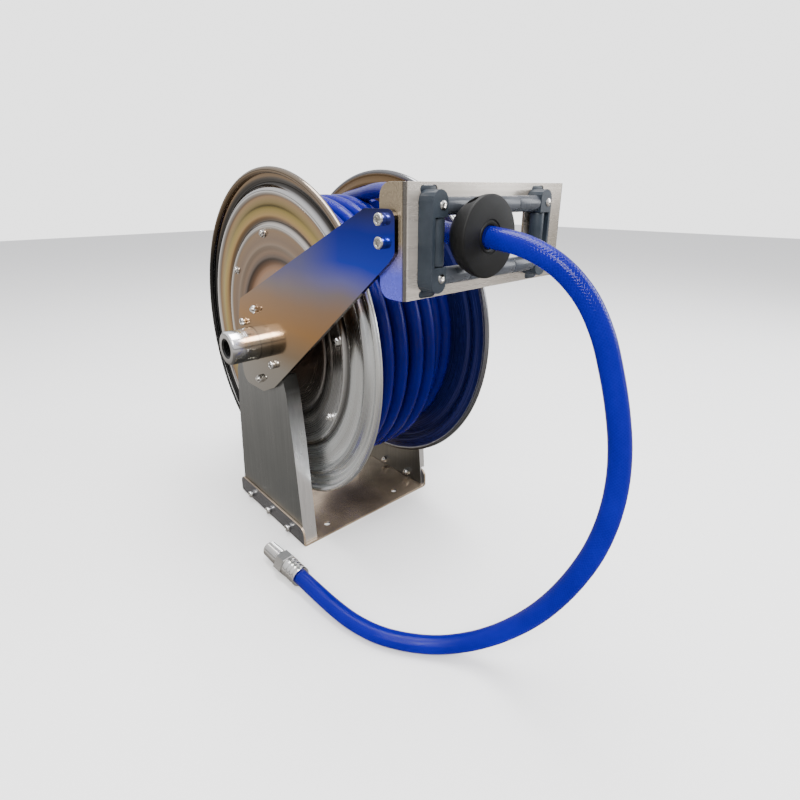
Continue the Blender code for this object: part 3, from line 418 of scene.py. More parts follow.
def hose_look(name, wound):
    """Glossy blue hose: a clear skin over a crossed braid, read from the tube's own UVs.

    A wound hose is painted darker down the drum, as painted shade where less light gets in between the
    turns.
    """
    look = Look(name)
    uv = look.split(look.place(source="UV"))
    lays = []
    for sign in (1.0, -1.0):
        phase = look.math("ADD", look.math("MULTIPLY", uv["X"], BRAID_PER_METRE),
                          look.math("MULTIPLY", uv["Y"], sign * BRAID_STARTS))
        lays.append(look.math("SINE", look.math("MULTIPLY", phase, 2 * math.pi)))
    braid = look.math("MAXIMUM", lays[0], lays[1])
    pattern = look.span(braid, 0.2, 1.0, 0.0, 1.0)
    tone = look.noise(look.place(), 22.0, 3.0)
    deep = look.mix(look.span(tone, 0.3, 0.7, 0.0, 1.0), (0.001, 0.0, 0.13), (0.001, 0.0, 0.18))
    base = look.mix(look.math("MULTIPLY", pattern, 0.25), deep, (0.001, 0.002, 0.27))
    if wound:
        # Painted shade: darker low down on the drum.
        height = look.split(look.place())["Z"]
        base = look.mix(look.span(height, 0.41, 0.33, 0.0, 0.64), base, (0.0, 0.0, 0.006))
    dust = look.noise(look.place(), 160.0, 6.0, 0.7)
    relief = look.math("ADD", look.math("MULTIPLY", pattern, 0.8), look.math("MULTIPLY", dust, 0.03))
    look.bump(relief, 0.34, 0.0004)
    look.shader.inputs["Specular IOR Level"].default_value = 0.18
    return look.finish(base, look.span(dust, 0.35, 0.7, 0.07, 0.11))


def rubber_look():
    """Matte black rubber with faint dust and moulding grain."""
    look = Look("stop_rubber")
    grain = look.noise(look.place(), 700.0, 5.0, 0.7)
    dust = look.noise(look.place(), 28.0, 5.0)
    base = look.mix(look.span(dust, 0.4, 0.75, 0.0, 0.6), (0.003, 0.003, 0.003),
                    (0.011, 0.011, 0.011))
    look.bump(grain, 0.3, 0.0003)
    look.shader.inputs["Specular IOR Level"].default_value = 0.22
    return look.finish(base, look.span(dust, 0.3, 0.7, 0.42, 0.60))


# ---------------------------------------------------------------- mesh helpers

def new_piece(name, bm, material, body, node=(), sharp=35):
    """Make a shown piece from a bmesh in the frame's metres and let it ride on a body."""
    bmesh.ops.recalc_face_normals(bm, faces=bm.faces)
    mesh = bpy.data.meshes.new(name)
    bm.to_mesh(mesh)
    bm.free()
    mesh.shade_smooth()
    mesh.set_sharp_from_angle(angle=math.radians(sharp))
    piece = bpy.data.objects.new(name, mesh)
    bpy.context.collection.objects.link(piece)
    mesh.materials.append(material)
    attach(piece, body)
    if node:
        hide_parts(*([node] if isinstance(node, str) else node))
    return piece


def along_axis(start, axis):
    """Matrix that stands local +Z on an axis through start."""
    turn = Vector((0, 0, 1)).rotation_difference(Vector(axis)).to_matrix().to_4x4()
    return Matrix.Translation(start) @ turn


def lathe(bm, stations, start, axis, sides, hollow=False):
    """Add (height, radius[, "hex"]) stations, turned about an axis, to bm.

    A hollow shape runs back from its last station to its first; others are capped.
    """
    rings = []
    for station in stations:
        ring = []
        for index in range(sides):
            angle = 2 * math.pi * index / sides
            reach = station[1]
            if len(station) == 3:
                reach /= math.cos((angle % (math.pi / 3)) - math.pi / 6)
            ring.append(bm.verts.new((reach * math.cos(angle), reach * math.sin(angle), station[0])))
        rings.append(ring)
    pairs = list(zip(rings, rings[1:]))
    if hollow:
        pairs.append((rings[-1], rings[0]))
    else:
        bm.faces.new(rings[0])
        bm.faces.new(rings[-1])
    for lower, upper in pairs:
        for index in range(sides):
            following = (index + 1) % sides
            bm.faces.new((lower[index], lower[following], upper[following], upper[index]))
    made = [vertex for ring in rings for vertex in ring]
    bmesh.ops.transform(bm, matrix=along_axis(start, axis), verts=made)


def sleeve_stations(length, bore, radius):
    """Stations of a bored sleeve with quarter-round edges on both ends."""
    bevel, steps = 1.0 * MM, 3
    edge = []
    for step in range(steps + 1):
        angle = math.pi / 2 * step / steps
        edge.append((bevel * (1 - math.cos(angle)), radius - bevel + bevel * math.sin(angle)))
    far_edge = [(length - height, reach) for height, reach in reversed(edge)]
    return [(0, bore)] + edge + far_edge + [(length, bore)]


def smooth_route(route, spacing):
    """Even points on a Catmull-Rom curve through a route in millimetres."""
    steps = 12
    knots = [Vector(point) * MM for point in route]
    knots.insert(0, 2 * knots[0] - knots[1])
    knots.append(2 * knots[-1] - knots[-2])
    fine = []
    for first, second, third, fourth in zip(knots, knots[1:], knots[2:], knots[3:]):
        for step in range(steps):
            t = step / steps
            fine.append(0.5 * (2 * second + (third - first) * t
                               + (2 * first - 5 * second + 4 * third - fourth) * t ** 2
                               + (3 * second - first - 3 * third + fourth) * t ** 3))
    fine.append(knots[-2])
    lengths = [0.0]
    for before, after in zip(fine, fine[1:]):
        lengths.append(lengths[-1] + (after - before).length)
    count = round(lengths[-1] / spacing)
    points, index = [], 0
    for number in range(count + 1):
        reach = lengths[-1] * number / count
        while index < len(fine) - 2 and lengths[index + 1] < reach:
            index += 1
        share = (reach - lengths[index]) / (lengths[index + 1] - lengths[index])
        points.append(fine[index].lerp(fine[index + 1], min(share, 1.0)))
    return points, lengths[-1]


def tube(bm, points, sides, first_up=(0, 0, 1)):
    """Sweep the hose's section along points, with UVs: metres along, turns around."""
    layer = bm.loops.layers.uv.verify()
    up = Vector(first_up)
    rings, reach = [], 0.0
    for index, point in enumerate(points):
        ahead = points[min(index + 1, len(points) - 1)] - points[max(index - 1, 0)]
        ahead.normalize()
        side = ahead.cross(up).normalized()
        up = side.cross(ahead).normalized()
        if index:
            reach += (point - points[index - 1]).length
        ring = []
        for k in range(sides):
            angle = 2 * math.pi * k / sides
            spoke = side * math.cos(angle) + up * math.sin(angle)
            ring.append(bm.verts.new(point + HOSE_RADIUS * spoke))
        rings.append((ring, reach))
    for (lower, start), (upper, end) in zip(rings, rings[1:]):
        for k in range(sides):
            following = (k + 1) % sides
            face = bm.faces.new((lower[k], lower[following], upper[following], upper[k]))
            for loop, uv in zip(face.loops, ((start, k), (start, k + 1), (end, k + 1), (end, k))):
                loop[layer].uv = (uv[0], uv[1] / sides)
    bm.faces.new(rings[0][0])
    bm.faces.new(rings[-1][0])


# ---------------------------------------------------------------- hose

HOSE_ROUTE = ((-56, -326.3, 416.6), (-53, -356.7, 411.5), (-47.7, -384.2, 398.8),
              (-41.4, -405.6, 377.4), (-35.7, -419.6, 350.5), (-31.7, -429, 321.3),
              (-30, -437.3, 291.5), (-30.1, -443.8, 261.2), (-32.1, -447, 230.5),
              (-36.1, -446.3, 199.8), (-41.4, -441.5, 169.7), (-46.5, -432.4, 140.6),
              (-50.8, -420.2, 112.4), (-55, -405.5, 85.5), (-60.7, -388.1, 60.5),
              (-69.3, -368.4, 38.3), (-82.3, -346.8, 21.2), (-100.4, -323.7, 11.6),
              (-119.8, -299.6, 9.4), (-136, -273.3, 9.4), (-146, -244, 10), (-151.6, -213.6, 12.2),
              (-154.5, -182.9, 14.4), (-155.9, -152, 14.8))
STRAND_ROUTE = ((32, -57, 450.6), (20.5, -88, 453.2), (8.5, -120, 453.6), (-3, -150, 451),
                (-18.5, -188, 442), (-33.5, -223, 430.5), (-45.5, -250, 421.8), (-52, -270, 418.4),
                (-54.9, -286, 416.9), (-56, -300, 416.6), (-56, -312, 416.6), (-56, -324.6, 416.6))


def free_hose(material):
    """The hose from the ball stop down to the floor and round to its fitting."""
    points, length = smooth_route(HOSE_ROUTE, 4 * MM)
    bm = bmesh.new()
    tube(bm, points, 28)
    piece = new_piece("hose_free_run", bm, material, "frame", "free_hose")
    return piece, points, length


def hose_fittings(bright):
    """Swaged ferrule and threaded male coupling on the hose end."""
    start = Vector(HOSE_ROUTE[-1]) * MM
    along = Vector((-0.045, 1, 0)).normalized()
    gap, waist, swage_depth, last = 0.6 * MM, 11.3 * MM, 0.6 * MM, 26
    stations = [(gap, 9.3 * MM)]
    for k in range(last + 1):           # one station per millimetre, drawn in three times
        swage = swage_depth
        if 3 <= k <= 21:
            swage *= 0.5 + 0.5 * math.cos(2 * math.pi * (k - 3) / 6)
        end_break = 0.5 * MM if k in (0, last) else 0
        stations.append((gap + k * MM, waist + swage - end_break))
    stations.append((gap + last * MM, 5 * MM))
    bm = bmesh.new()
    lathe(bm, stations, start, along, 48)
    ferrule = new_piece("ferrule", bm, bright, "frame", "hose_ferrule")
    base, hexagon, chamfer = 26.9 * MM, 12.2 * MM, 0.8 * MM
    hex_end = base + 15 * MM
    thread_start, thread_end, pitch = base + 20 * MM, base + 44 * MM, 1.8 * MM
    stations = [(base, 9 * MM), (base, hexagon - chamfer, "hex"), (base + chamfer, hexagon, "hex"),
                (hex_end - chamfer, hexagon, "hex"), (hex_end, hexagon - chamfer, "hex"),
                (hex_end, 9.3 * MM), (base + 19 * MM, 9.3 * MM)]
    height = thread_start
    while height < thread_end:
        taper = 10.2 * MM - (height - thread_start) * 0.03
        stations += [(height, taper - 1.1 * MM), (height + pitch * 0.45, taper),
                     (height + pitch * 0.6, taper)]
        height += pitch
    stations += [(base + 46 * MM, 8.6 * MM), (base + 47 * MM, 7.8 * MM), (base + 47 * MM, 6 * MM),
                 (base + 30 * MM, 6 * MM)]
    bm = bmesh.new()
    lathe(bm, stations, start, along, 48)
    coupling = new_piece("coupling", bm, bright, "frame", "hose_fitting")
    return [ferrule, coupling]


def hose_on_drum(material):
    """Two layers of hose: a tight lower layer and a loose outer one with gaps."""
    gap = 0.3 * MM
    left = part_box("hose_winding")[0].x + HOSE_RADIUS + gap
    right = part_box("hose_winding")[1].x - HOSE_RADIUS - gap
    per_turn = 72

    def helix(radius, first_x, last_x, turns, start_angle, slack):
        """Points of a layer that goes once across the drum, swaying by its slack."""
        points = []
        for step in range(int(turns * per_turn) + 1):
            share = step / (turns * per_turn)
            angle = start_angle + 2 * math.pi * turns * share
            sway = slack * math.sin(angle * 0.5 + 7 * share) * math.sin(math.pi * share)
            x = first_x + (last_x - first_x) * share + sway
            points.append(Vector((x, -radius * math.sin(angle), AXIS_Z + radius * math.cos(angle))))
        return points

    inner_turns = (right - left) / INNER_PITCH
    bm = bmesh.new()
    tube(bm, helix(INNER_LAYER, right, left, inner_turns, 0.0, 0.0), 14, (1, 0, 0))
    new_piece("hose_lower_layer", bm, material, "drum")
    bm = bmesh.new()
    outer = helix(OUTER_LAYER, left, right - OUTER_SPARE, OUTER_TURNS, 0.3, 2.2 * MM)
    tube(bm, outer, 18, (1, 0, 0))
    new_piece("hose_outer_layer", bm, material, "drum", "hose_winding")


def last_turn(material):
    """The turn that comes up over the back and leaves the drum for the guide."""
    straight, step_angle, steps, settling = 75, math.radians(3), 48, 10
    join, following = (Vector(point) * MM for point in STRAND_ROUTE[:2])
    back = (join - following).normalized()
    points = [join + back * reach * MM for reach in range(0, straight + 1, 5)]
    leave = points[-1]
    radius = math.hypot(leave.y, leave.z - AXIS_Z)
    start = math.atan2(leave.y, leave.z - AXIS_Z)
    for step in range(1, steps + 1):
        turn = start + step_angle * step
        settle = min(1.0, step / settling)
        reach = radius + (OUTER_LAYER - radius) * settle * settle * (3 - 2 * settle)
        slide = 12 * MM * (1 - math.exp(-step / 5))
        points.append(Vector((leave.x + slide, reach * math.sin(turn),
                              AXIS_Z + reach * math.cos(turn))))
    bm = bmesh.new()
    tube(bm, points, 24, (1, 0, 0))
    new_piece("hose_last_turn", bm, material, "drum")


def hose_strand(material):
    """The run from the drum to the guide rollers and through the stop."""
    points, _ = smooth_route(STRAND_ROUTE, 5 * MM)
    bm = bmesh.new()
    tube(bm, points, 24)
    new_piece("hose_to_guide", bm, material, "frame", "hose_strand")


# ---------------------------------------------------------------- drum

def disc(side, outward, material, bright):
    """Side disc with its pressed rings, rolled rim and eight bolts."""
    node = f"disc_{side}"
    low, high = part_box(node)
    bead = 4 * MM
    rim_x = (low.x + bead * 1.5) if outward < 0 else (high.x - bead * 1.5)
    sheet = 1.5 * MM
    pressed = ((-7, 90), (-6.8, 95), (-5.5, 99.5), (-3.6, 103), (-3, 106), (-3, 112), (-2.6, 117),
               (-1.4, 120), (-1, 123), (-1, 140), (-0.4, 142.5), (0.6, 144.5), (0.6, 146.5),
               (-1.2, 148.5), (-2.8, 150.5), (-2.6, 153), (-0.8, 155.5), (0, 158.5), (0.2, 170),
               (0, 181), (0.8, 183), (2.6, 185), (3, 187.5), (2.6, 190), (0.4, 192), (-2.4, 194.5),
               (-3, 197), (-2.4, 199.5), (-1, 202), (-0.4, 205))
    outer = [(pressed[0][0] * MM, DISC_BORES[side])]
    outer += [(offset * MM, radius * MM) for offset, radius in pressed]
    inner = [(offset - sheet, radius) for offset, radius in reversed(outer)]
    curl_from, curl_to, curl_steps = 238, 575, 16
    rim = []
    for step in range(curl_steps + 1):
        angle = math.radians(curl_from + (curl_to - curl_from) * step / curl_steps)
        rim.append((bead / 2 + bead * math.cos(angle), DISC_RADIUS - bead + bead * math.sin(angle)))
    bm = bmesh.new()
    lathe(bm, outer + rim + inner, Vector((rim_x, 0, AXIS_Z)), (outward, 0, 0), 192, hollow=True)
    new_piece(f"{side}_disc", bm, material, "drum", node, sharp=50)
    washer, flats, tip = 5.5 * MM, 4.1 * MM, 2.4 * MM
    bolt = [(0, washer), (0.8 * MM, washer), (0.8 * MM, 3.6 * MM), (0.8 * MM, flats, "hex"),
            (3.4 * MM, flats, "hex"), (4 * MM, 3.7 * MM, "hex"), (4.4 * MM, 2.6 * MM), (5.4 * MM, tip),
            (5.7 * MM, 2.0 * MM)]
    bm = bmesh.new()
    for number in range(8):
        angle = math.radians(35 + 45 * number)
        place = Vector((rim_x - outward * 1 * MM, DISC_BOLT_CIRCLE * math.cos(angle),
                        AXIS_Z + DISC_BOLT_CIRCLE * math.sin(angle)))
        lathe(bm, bolt, place, (outward, 0, 0), 24)
    new_piece(f"{side}_disc_bolts", bm, bright, "drum")


# ---------------------------------------------------------------- fasteners

def cap_head(bm, face, axis, radius, height):
    """Socket-head cap: face is where the head sits, axis points out of the plate."""
    edge = 0.7 * MM
    socket = radius * 0.52
    stations = [(0.0, radius - 0.2 * MM), (0.3 * MM, radius)]
    stations += [(height - edge, radius), (height - edge * 0.4, radius - edge * 0.35),
                 (height, radius - edge), (height, socket * 1.18), (height - 0.5 * MM, socket, "hex"),
                 (height - 3 * MM, socket, "hex"), (height - 3.4 * MM, socket * 0.5)]
    lathe(bm, stations, face, axis, 36)


def hex_nut(bm, face, axis, flats, height, stud):
    """Hexagon nut with chamfered corners and a threaded bolt end through it."""
    corner, pitch = flats * 1.02, 0.8 * MM
    stations = [(0, corner), (0.5 * MM, flats, "hex"), (height - 0.6 * MM, flats, "hex"),
                (height, corner * 0.93), (height, stud)]
    reach = height
    for _ in range(3):
        stations += [(reach + 0.3 * MM, stud), (reach + 0.55 * MM, stud - 0.35 * MM),
                     (reach + pitch, stud)]
        reach += pitch
    stations.append((reach + 0.2 * MM, stud - 0.5 * MM))
    lathe(bm, stations, face, axis, 36)


def bolt_piece(node, outside_x, inside_x, centre, material, nut_outside=False):
    """Replace a CAD bolt along X with a detailed one: a cap head at one end, a nut at the other."""
    low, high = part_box(node)
    outward = 1 if outside_x > inside_x else -1
    y, z = centre
    radius = (high.y - low.y) / 2 * 0.98
    flats = radius * 0.98
    bm = bmesh.new()
    if nut_outside:
        hex_nut(bm, Vector((outside_x, y, z)), (outward, 0, 0), flats, 4.8 * MM, M6_SHANK)
        cap_head(bm, Vector((inside_x, y, z)), (-outward, 0, 0), radius, 5.5 * MM)
    else:
        cap_head(bm, Vector((outside_x, y, z)), (outward, 0, 0), radius, 5.9 * MM)
        hex_nut(bm, Vector((inside_x, y, z)), (-outward, 0, 0), flats, 4.6 * MM, M6_SHANK)
    shank = abs(outside_x - inside_x)
    lathe(bm, [(0, M6_SHANK), (shank, M6_SHANK)], Vector((min(outside_x, inside_x), y, z)),
          (1, 0, 0), 24)
    new_piece(f"{node}_detail", bm, material, "frame", node)


def node_centre(node):
    """Middle of a CAD node's box in Y and Z."""
    low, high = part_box(node)
    return (low.y + high.y) / 2, (low.z + high.z) / 2


def all_bolts(material):
    """Every through bolt of the base, the hub and the guide."""
    base_low, base_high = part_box("base_plate")
    left_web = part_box("left_leg")[0].x + LEG_SHEET
    right_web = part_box("right_leg")[0].x
    for place in ("front", "middle", "back"):
        left, right = f"base_bolt_left_{place}", f"base_bolt_right_{place}"
        bolt_piece(left, base_low.x, left_web, node_centre(left), material)
        bolt_piece(right, base_high.x, right_web, node_centre(right), material)
    arm_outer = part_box("guide_arm")[0].x
    for place in ("upper", "front", "lower", "back"):
        node = f"arm_bolt_{place}"
        bolt_piece(node, arm_outer, left_web, node_centre(node), material,
                   nut_outside=place in ("upper", "lower"))
    bracket_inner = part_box("guide_bracket")[0].x + BRACKET_SHEET
    for place in ("upper", "lower"):
        node = f"guide_bolt_{place}"
        bolt_piece(node, arm_outer, bracket_inner, node_centre(node), material)


# ---------------------------------------------------------------- rollers, blocks and stop

def roller_sleeves(material, body_material):
    """Round-edged sleeves on the two level pins, and the two upright rollers."""
    level_bore, upright_bore = 3.2 * MM, 2.2 * MM
    for level in ("upper", "lower"):
        for number in range(1, 5):
            node = f"{level}_roller_{number}"
            low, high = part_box(node)
            stations = sleeve_stations(high.x - low.x, level_bore, (high.z - low.z) / 2)
            bm = bmesh.new()
            lathe(bm, stations, Vector((low.x, (low.y + high.y) / 2, (low.z + high.z) / 2)),
                  (1, 0, 0), 48, hollow=True)
            new_piece(f"{node}_sleeve", bm, material, node, node)
    for side in ("left", "right"):
        node = f"{side}_roller"
        low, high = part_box(node)
        stations = sleeve_stations(high.z - low.z, upright_bore, (high.x - low.x) / 2)
        bm = bmesh.new()
        lathe(bm, stations, Vector(((low.x + high.x) / 2, (low.y + high.y) / 2, low.z)),
              (0, 0, 1), 48, hollow=True)
        new_piece(f"{node}_sleeve", bm, body_material, node, node)


def soften(node, width, segments=2):
    """Give a CAD node soft edges without touching its own mesh."""
    piece = NODES[node]
    weld = piece.modifiers.new("weld", "WELD")
    weld.merge_threshold = 0.00001
    bevel = piece.modifiers.new("bevel", "BEVEL")
    bevel.width = width
    bevel.segments = segments
    bevel.limit_method = "ANGLE"
    bevel.angle_limit = math.radians(30)
    bevel.use_clamp_overlap = True
    bevel.miter_outer = "MITER_ARC"


def dress(node, material):
    """Give a carried-over CAD node a material."""
    data = NODES[node].data
    data.materials.clear()
    data.materials.append(material)


def block_screws(material):
    """Pan-head screws on the roller blocks, with nuts behind the bracket."""
    rim, crown = 3.9 * MM, 1.5 * MM
    pan = [(0, rim), (0.5 * MM, rim), (1.2 * MM, 3.2 * MM), (crown, 2.2 * MM), (crown, 1.7 * MM, "hex"),
           (0.2 * MM, 1.6 * MM, "hex"), (0.1 * MM, 0.6 * MM)]
    for side in ("left", "right"):
        for place in ("lower", "upper"):
            node = f"block_screw_{side}_{place}"
            low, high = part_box(node)
            centre = (low + high) / 2
            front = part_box(f"roller_block_{side}")[0].y
            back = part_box("guide_bracket")[0].y + BRACKET_SHEET
            bm = bmesh.new()
            lathe(bm, pan, Vector((centre.x, front, centre.z)), (0, -1, 0), 36)
            hex_nut(bm, Vector((centre.x, back, centre.z)), (0, 1, 0), 4 * MM, 3.8 * MM, M5_SHANK)
            lathe(bm, [(0, M5_SHANK), (back - front, M5_SHANK)],
                  Vector((centre.x, front, centre.z)), (0, 1, 0), 24)
            new_piece(f"{node}_detail", bm, material, "frame", node)


def block_lugs(material):
    """Moulded lugs of the blocks, seated in the bracket's slots."""
    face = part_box("guide_bracket")[0].y
    corner, end, sides = 3.3 * MM, 6.4 * MM, 32
    profile = ((0.3 * MM, 0.5 * MM), (0.5 * MM, 0.1 * MM), (0.9 * MM, 0.0), (2.2 * MM, 0.0))
    for side, x in SLOT_XS.items():
        bm = bmesh.new()
        for z in SLOT_HEIGHTS:
            rings = []
            for depth, inset in profile:
                ring = []
                for step in range(sides):
                    angle = 2 * math.pi * (step + 0.5) / sides
                    reach = math.copysign(end, math.cos(angle))
                    ring.append(bm.verts.new((x + reach + (corner - inset) * math.cos(angle),
                                              face + depth, z + (corner - inset) * math.sin(angle))))
                rings.append(ring)
            for near, far in zip(rings, rings[1:]):
                for step in range(sides):
                    after = (step + 1) % sides
                    bm.faces.new((near[step], near[after], far[after], far[step]))
            bm.faces.new(rings[0])
            bm.faces.new(rings[-1])
        new_piece(f"block_lugs_{side}", bm, material, "frame")


def ball_stop(material, bright):
    """Rubber half ball clamped round the hose, with two screws in recesses."""
    low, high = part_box("hose_stop")
    centre = Vector(((low.x + high.x) / 2, low.y, (low.z + high.z) / 2))
    radius = STOP_RADIUS
    bore = HOSE_RADIUS + 0.25 * MM
    stations = [(2.5 * MM, bore), (0.8 * MM, bore + 0.3 * MM), (0.2 * MM, bore + 1.2 * MM),
                (0.2 * MM, bore + 3 * MM), (0.9 * MM, bore + 3.6 * MM), (0.9 * MM, bore + 4.4 * MM),
                (0.1 * MM, bore + 5 * MM), (0.0, radius - 1.6 * MM), (0.3 * MM, radius - 0.6 * MM),
                (1.0 * MM, radius - 0.1 * MM)]
    for turn in range(4, 72, 3):
        angle = math.radians(turn)
        stations.append((radius * math.sin(angle), radius * math.cos(angle)))
    stations.append((stations[-1][0], bore))
    bm = bmesh.new()
    lathe(bm, stations, centre, (0, 1, 0), 96, hollow=True)
    piece = new_piece("ball_stop", bm, material, "frame", "hose_stop", sharp=40)
    middle = centre + Vector((0, 8.5 * MM, 0))
    for place, sign in (("upper", 1), ("lower", -1)):
        outward = Vector((-0.45 * sign, 0.0, 0.89 * sign))
        cutter_mesh = bmesh.new()
        recess = middle + outward * 23 * MM
        lathe(cutter_mesh, [(0, 3.6 * MM), (14 * MM, 5.6 * MM)], recess, outward, 32)
        mesh = bpy.data.meshes.new("recess_tool")
        bmesh.ops.recalc_face_normals(cutter_mesh, faces=cutter_mesh.faces)
        cutter_mesh.to_mesh(mesh)
        cutter_mesh.free()
        tool = bpy.data.objects.new("recess_tool", mesh)
        bpy.context.collection.objects.link(tool)
        cut = piece.modifiers.new("recess", "BOOLEAN")
        cut.operation = "DIFFERENCE"
        cut.solver = "EXACT"
        cut.object = tool
        bpy.context.view_layer.update()
        graph = bpy.context.evaluated_depsgraph_get()
        baked = bpy.data.meshes.new_from_object(piece.evaluated_get(graph))
        piece.modifiers.clear()
        piece.data = baked
        bpy.data.objects.remove(tool)
        bm = bmesh.new()
        screw = middle + outward * 23.4 * MM
        lathe(bm, [(0, 3.1 * MM), (2.4 * MM, 3.1 * MM), (2.8 * MM, 2.7 * MM), (2.8 * MM, 1.6 * MM, "hex"),
                   (1.2 * MM, 1.5 * MM, "hex")], screw, outward, 24)
        new_piece(f"stop_screw_{place}", bm, bright, "frame")


# ---------------------------------------------------------------- hub

def swivel(material):
    """Inlet: turned body with two grooves, a chamfer, a stepped bore and a threaded mouth."""
    low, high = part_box("swivel_body")
    start = Vector((low.x, 0, AXIS_Z))
    radius = (high.z - low.z) / 2
    length = high.x - low.x
    mouth, groove_depth, thread_pitch = 11 * MM, 0.6 * MM, 1.8 * MM
    stations = [(0, mouth + 2 * MM), (0, radius - 2.4 * MM), (0.4 * MM, radius - 1.6 * MM),
                (1.8 * MM, radius - 0.2 * MM), (2.4 * MM, radius)]
    for groove in (20 * MM, 22.2 * MM):
        stations += [(groove, radius), (groove + 0.15 * MM, radius - groove_depth),
                     (groove + 0.75 * MM, radius - groove_depth), (groove + 0.9 * MM, radius)]
    seat, bearing, seal, waterway = 18.3 * MM, 16.3 * MM, 12.3 * MM, 7 * MM
    bearing_end, seal_end, seal_floor = 45 * MM, 38.2 * MM, 32.5 * MM
    stations += [(length, radius), (length, seat), (bearing_end, seat), (bearing_end, bearing),
                 (seal_end, bearing), (seal_end, seal), (seal_floor, seal), (seal_floor, waterway),
                 (20 * MM, waterway), (18 * MM, mouth - 0.6 * MM)]
    height = 17 * MM
    while height > 2.4 * MM:
        stations += [(height, mouth + 0.7 * MM), (height - 0.8 * MM, mouth - 0.6 * MM)]
        height -= thread_pitch
    bm = bmesh.new()
    lathe(bm, stations, start, (1, 0, 0), 96, hollow=True)
    new_piece("inlet_swivel", bm, material, "frame", "swivel_body", sharp=30)


# ---------------------------------------------------------------- stage

def add_area(name, place, target, size, power, colour):
    """Rectangular light at a place, turned to a target."""
    data = bpy.data.lights.new(name, "AREA")
    data.shape = "RECTANGLE"
    data.size, data.size_y = size
    data.energy = power
    data.color = colour
    light = bpy.data.objects.new(name, data)
    bpy.context.collection.objects.link(light)
    light.location = place
    light.rotation_euler = (Vector(target) - Vector(place)).to_track_quat("-Z", "Y").to_euler()


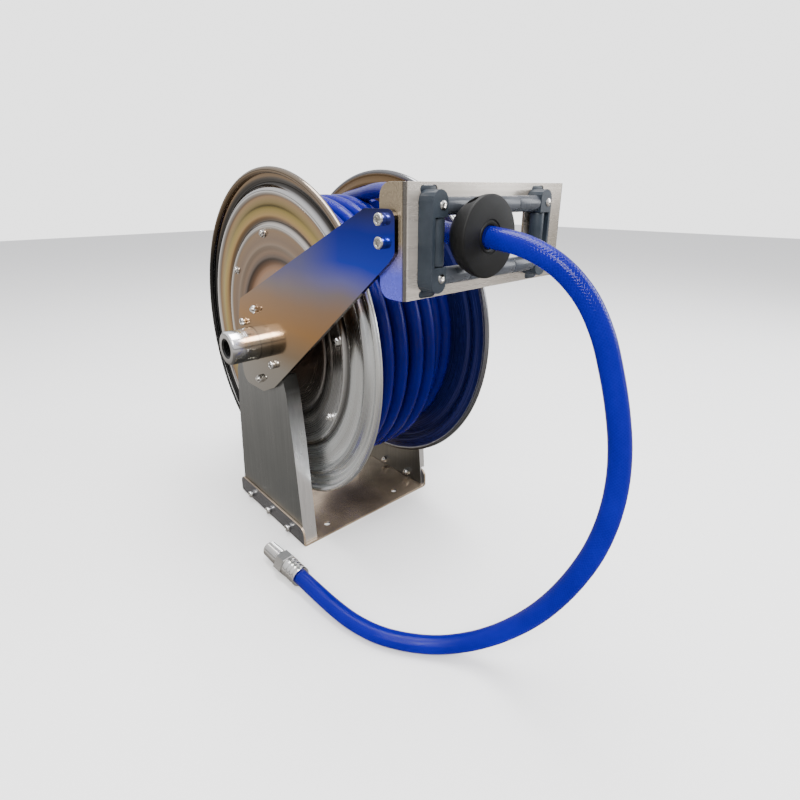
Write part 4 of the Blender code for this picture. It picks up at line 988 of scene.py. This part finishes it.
def add_studio():
    """Pale floor, soft lights, and a world that is pale to the eye and warmer in reflections."""
    bm = bmesh.new()
    bmesh.ops.create_grid(bm, x_segments=1, y_segments=1, size=6)
    mesh = bpy.data.meshes.new("floor")
    bm.to_mesh(mesh)
    bm.free()
    floor = bpy.data.objects.new("floor", mesh)
    bpy.context.collection.objects.link(floor)
    look = Look("floor_paper", roughness=0.9, colour=(0.90, 0.90, 0.90))
    mesh.materials.append(look.material)
    floor.visible_glossy = False
    world = bpy.data.worlds.new("studio")
    bpy.context.scene.world = world
    world.use_nodes = True
    tree = world.node_tree
    background = tree.nodes["Background"]
    coordinates = tree.nodes.new("ShaderNodeTexCoord")
    split = tree.nodes.new("ShaderNodeSeparateXYZ")
    ramp = tree.nodes.new("ShaderNodeValToRGB")
    path = tree.nodes.new("ShaderNodeLightPath")
    mix = tree.nodes.new("ShaderNodeMix")
    mix.data_type = "RGBA"
    tree.links.new(coordinates.outputs["Generated"], split.inputs[0])
    height = tree.nodes.new("ShaderNodeMapRange")
    height.inputs["From Min"].default_value = -1.0
    tree.links.new(split.outputs["Z"], height.inputs["Value"])
    tree.links.new(height.outputs["Result"], ramp.inputs["Fac"])
    tree.links.new(path.outputs["Is Camera Ray"], mix.inputs[MIX_FACTOR])
    tree.links.new(ramp.outputs["Color"], mix.inputs[MIX_FIRST])
    mix.inputs[MIX_SECOND].default_value = (2.6, 2.6, 2.6, 1)
    tree.links.new(mix.outputs[MIX_RESULT], background.inputs["Color"])
    stops = ((0.0, (0.22, 0.21, 0.20)), (0.30, (0.46, 0.43, 0.40)), (0.42, (0.95, 0.91, 0.87)),
             (0.47, (0.60, 0.58, 0.56)), (0.492, (0.10, 0.10, 0.10)), (0.51, (0.14, 0.14, 0.14)),
             (0.55, (0.85, 0.85, 0.86)), (0.75, (1.1, 1.1, 1.12)), (1.0, (1.4, 1.4, 1.45)))
    while len(ramp.color_ramp.elements) < len(stops):
        ramp.color_ramp.elements.new(1.0)
    for element, (position, colour) in zip(ramp.color_ramp.elements, stops):
        element.position = position
        element.color = (*colour, 1)
    add_area("key", (-1.2, -1.4, 1.9), (0, 0, 0.25), (1.0, 1.0), 70, (1, 0.98, 0.95))
    add_area("top", (0.2, 0.0, 2.2), (0, 0, 0.2), (1.6, 1.2), 75, (1, 1, 1))
    add_area("fill", (1.6, -1.2, 1.1), (0, 0, 0.25), (0.8, 1.4), 28, (0.95, 0.97, 1))


# ---------------------------------------------------------------- build

def build():
    """Camera and cord first, then the other pieces, the carried-over nodes and the stage."""
    add_camera()
    hose = hose_look("hose_blue", wound=False)
    wound = hose_look("wound_hose_blue", wound=True)
    bright = bright_steel("bright_steel")
    run, points, length = free_hose(hose)
    pieces = hose_fittings(bright)
    hose_strand(hose)
    hose_on_drum(wound)
    last_turn(wound)
    for side, outward in (("left", -1), ("right", 1)):
        disc(side, outward, disc_steel(f"{side}_disc_steel", outward), bright)
    all_bolts(bright)
    block_screws(bright)
    sleeve = moulded_plastic("sleeve_grey", (0.034, 0.038, 0.046), 0.24, 0.05)
    block = moulded_plastic("block_charcoal", (0.014, 0.020, 0.028), 0.40, 0.12)
    roller_sleeves(sleeve, block)
    block_lugs(block)
    rubber = rubber_look()
    ball_stop(rubber, bright)
    swivel(turned_steel())

    upright = leg_steel()
    flat = base_steel()
    bracket_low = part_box("guide_bracket")[0]
    guide = bracket_steel(bracket_low.x, bracket_low.y)
    for node, material, width in (("base_plate", flat, 0.5), ("left_leg", upright, 0.5),
                                  ("right_leg", upright, 0.5), ("guide_bracket", guide, 0.4),
                                  ("guide_arm", arm_steel(), 0.4)):
        dress(node, material)
        soften(node, width * MM)
    for node in ("roller_block_left", "roller_block_right"):
        dress(node, block)
        soften(node, 1.0 * MM, 3)
    bronze = bright_steel("bronze", (0.55, 0.36, 0.17), 0.3)
    for node in ("left_bearing", "right_bearing"):
        dress(node, bronze)
    dress("swivel_seal", rubber)
    for node in ("drum_core", "drum_shaft", "spring_case", "ratchet_wheel", "power_spring",
                 "spring_arbor", "latch_pawl"):
        dress(node, upright)
    for node in ("arbor_nut", "pawl_pin", "pawl_spring", "hose_elbow", "upper_roller_pin",
                 "lower_roller_pin", "left_roller_pin", "right_roller_pin"):
        dress(node, bright)
    add_studio()


build()
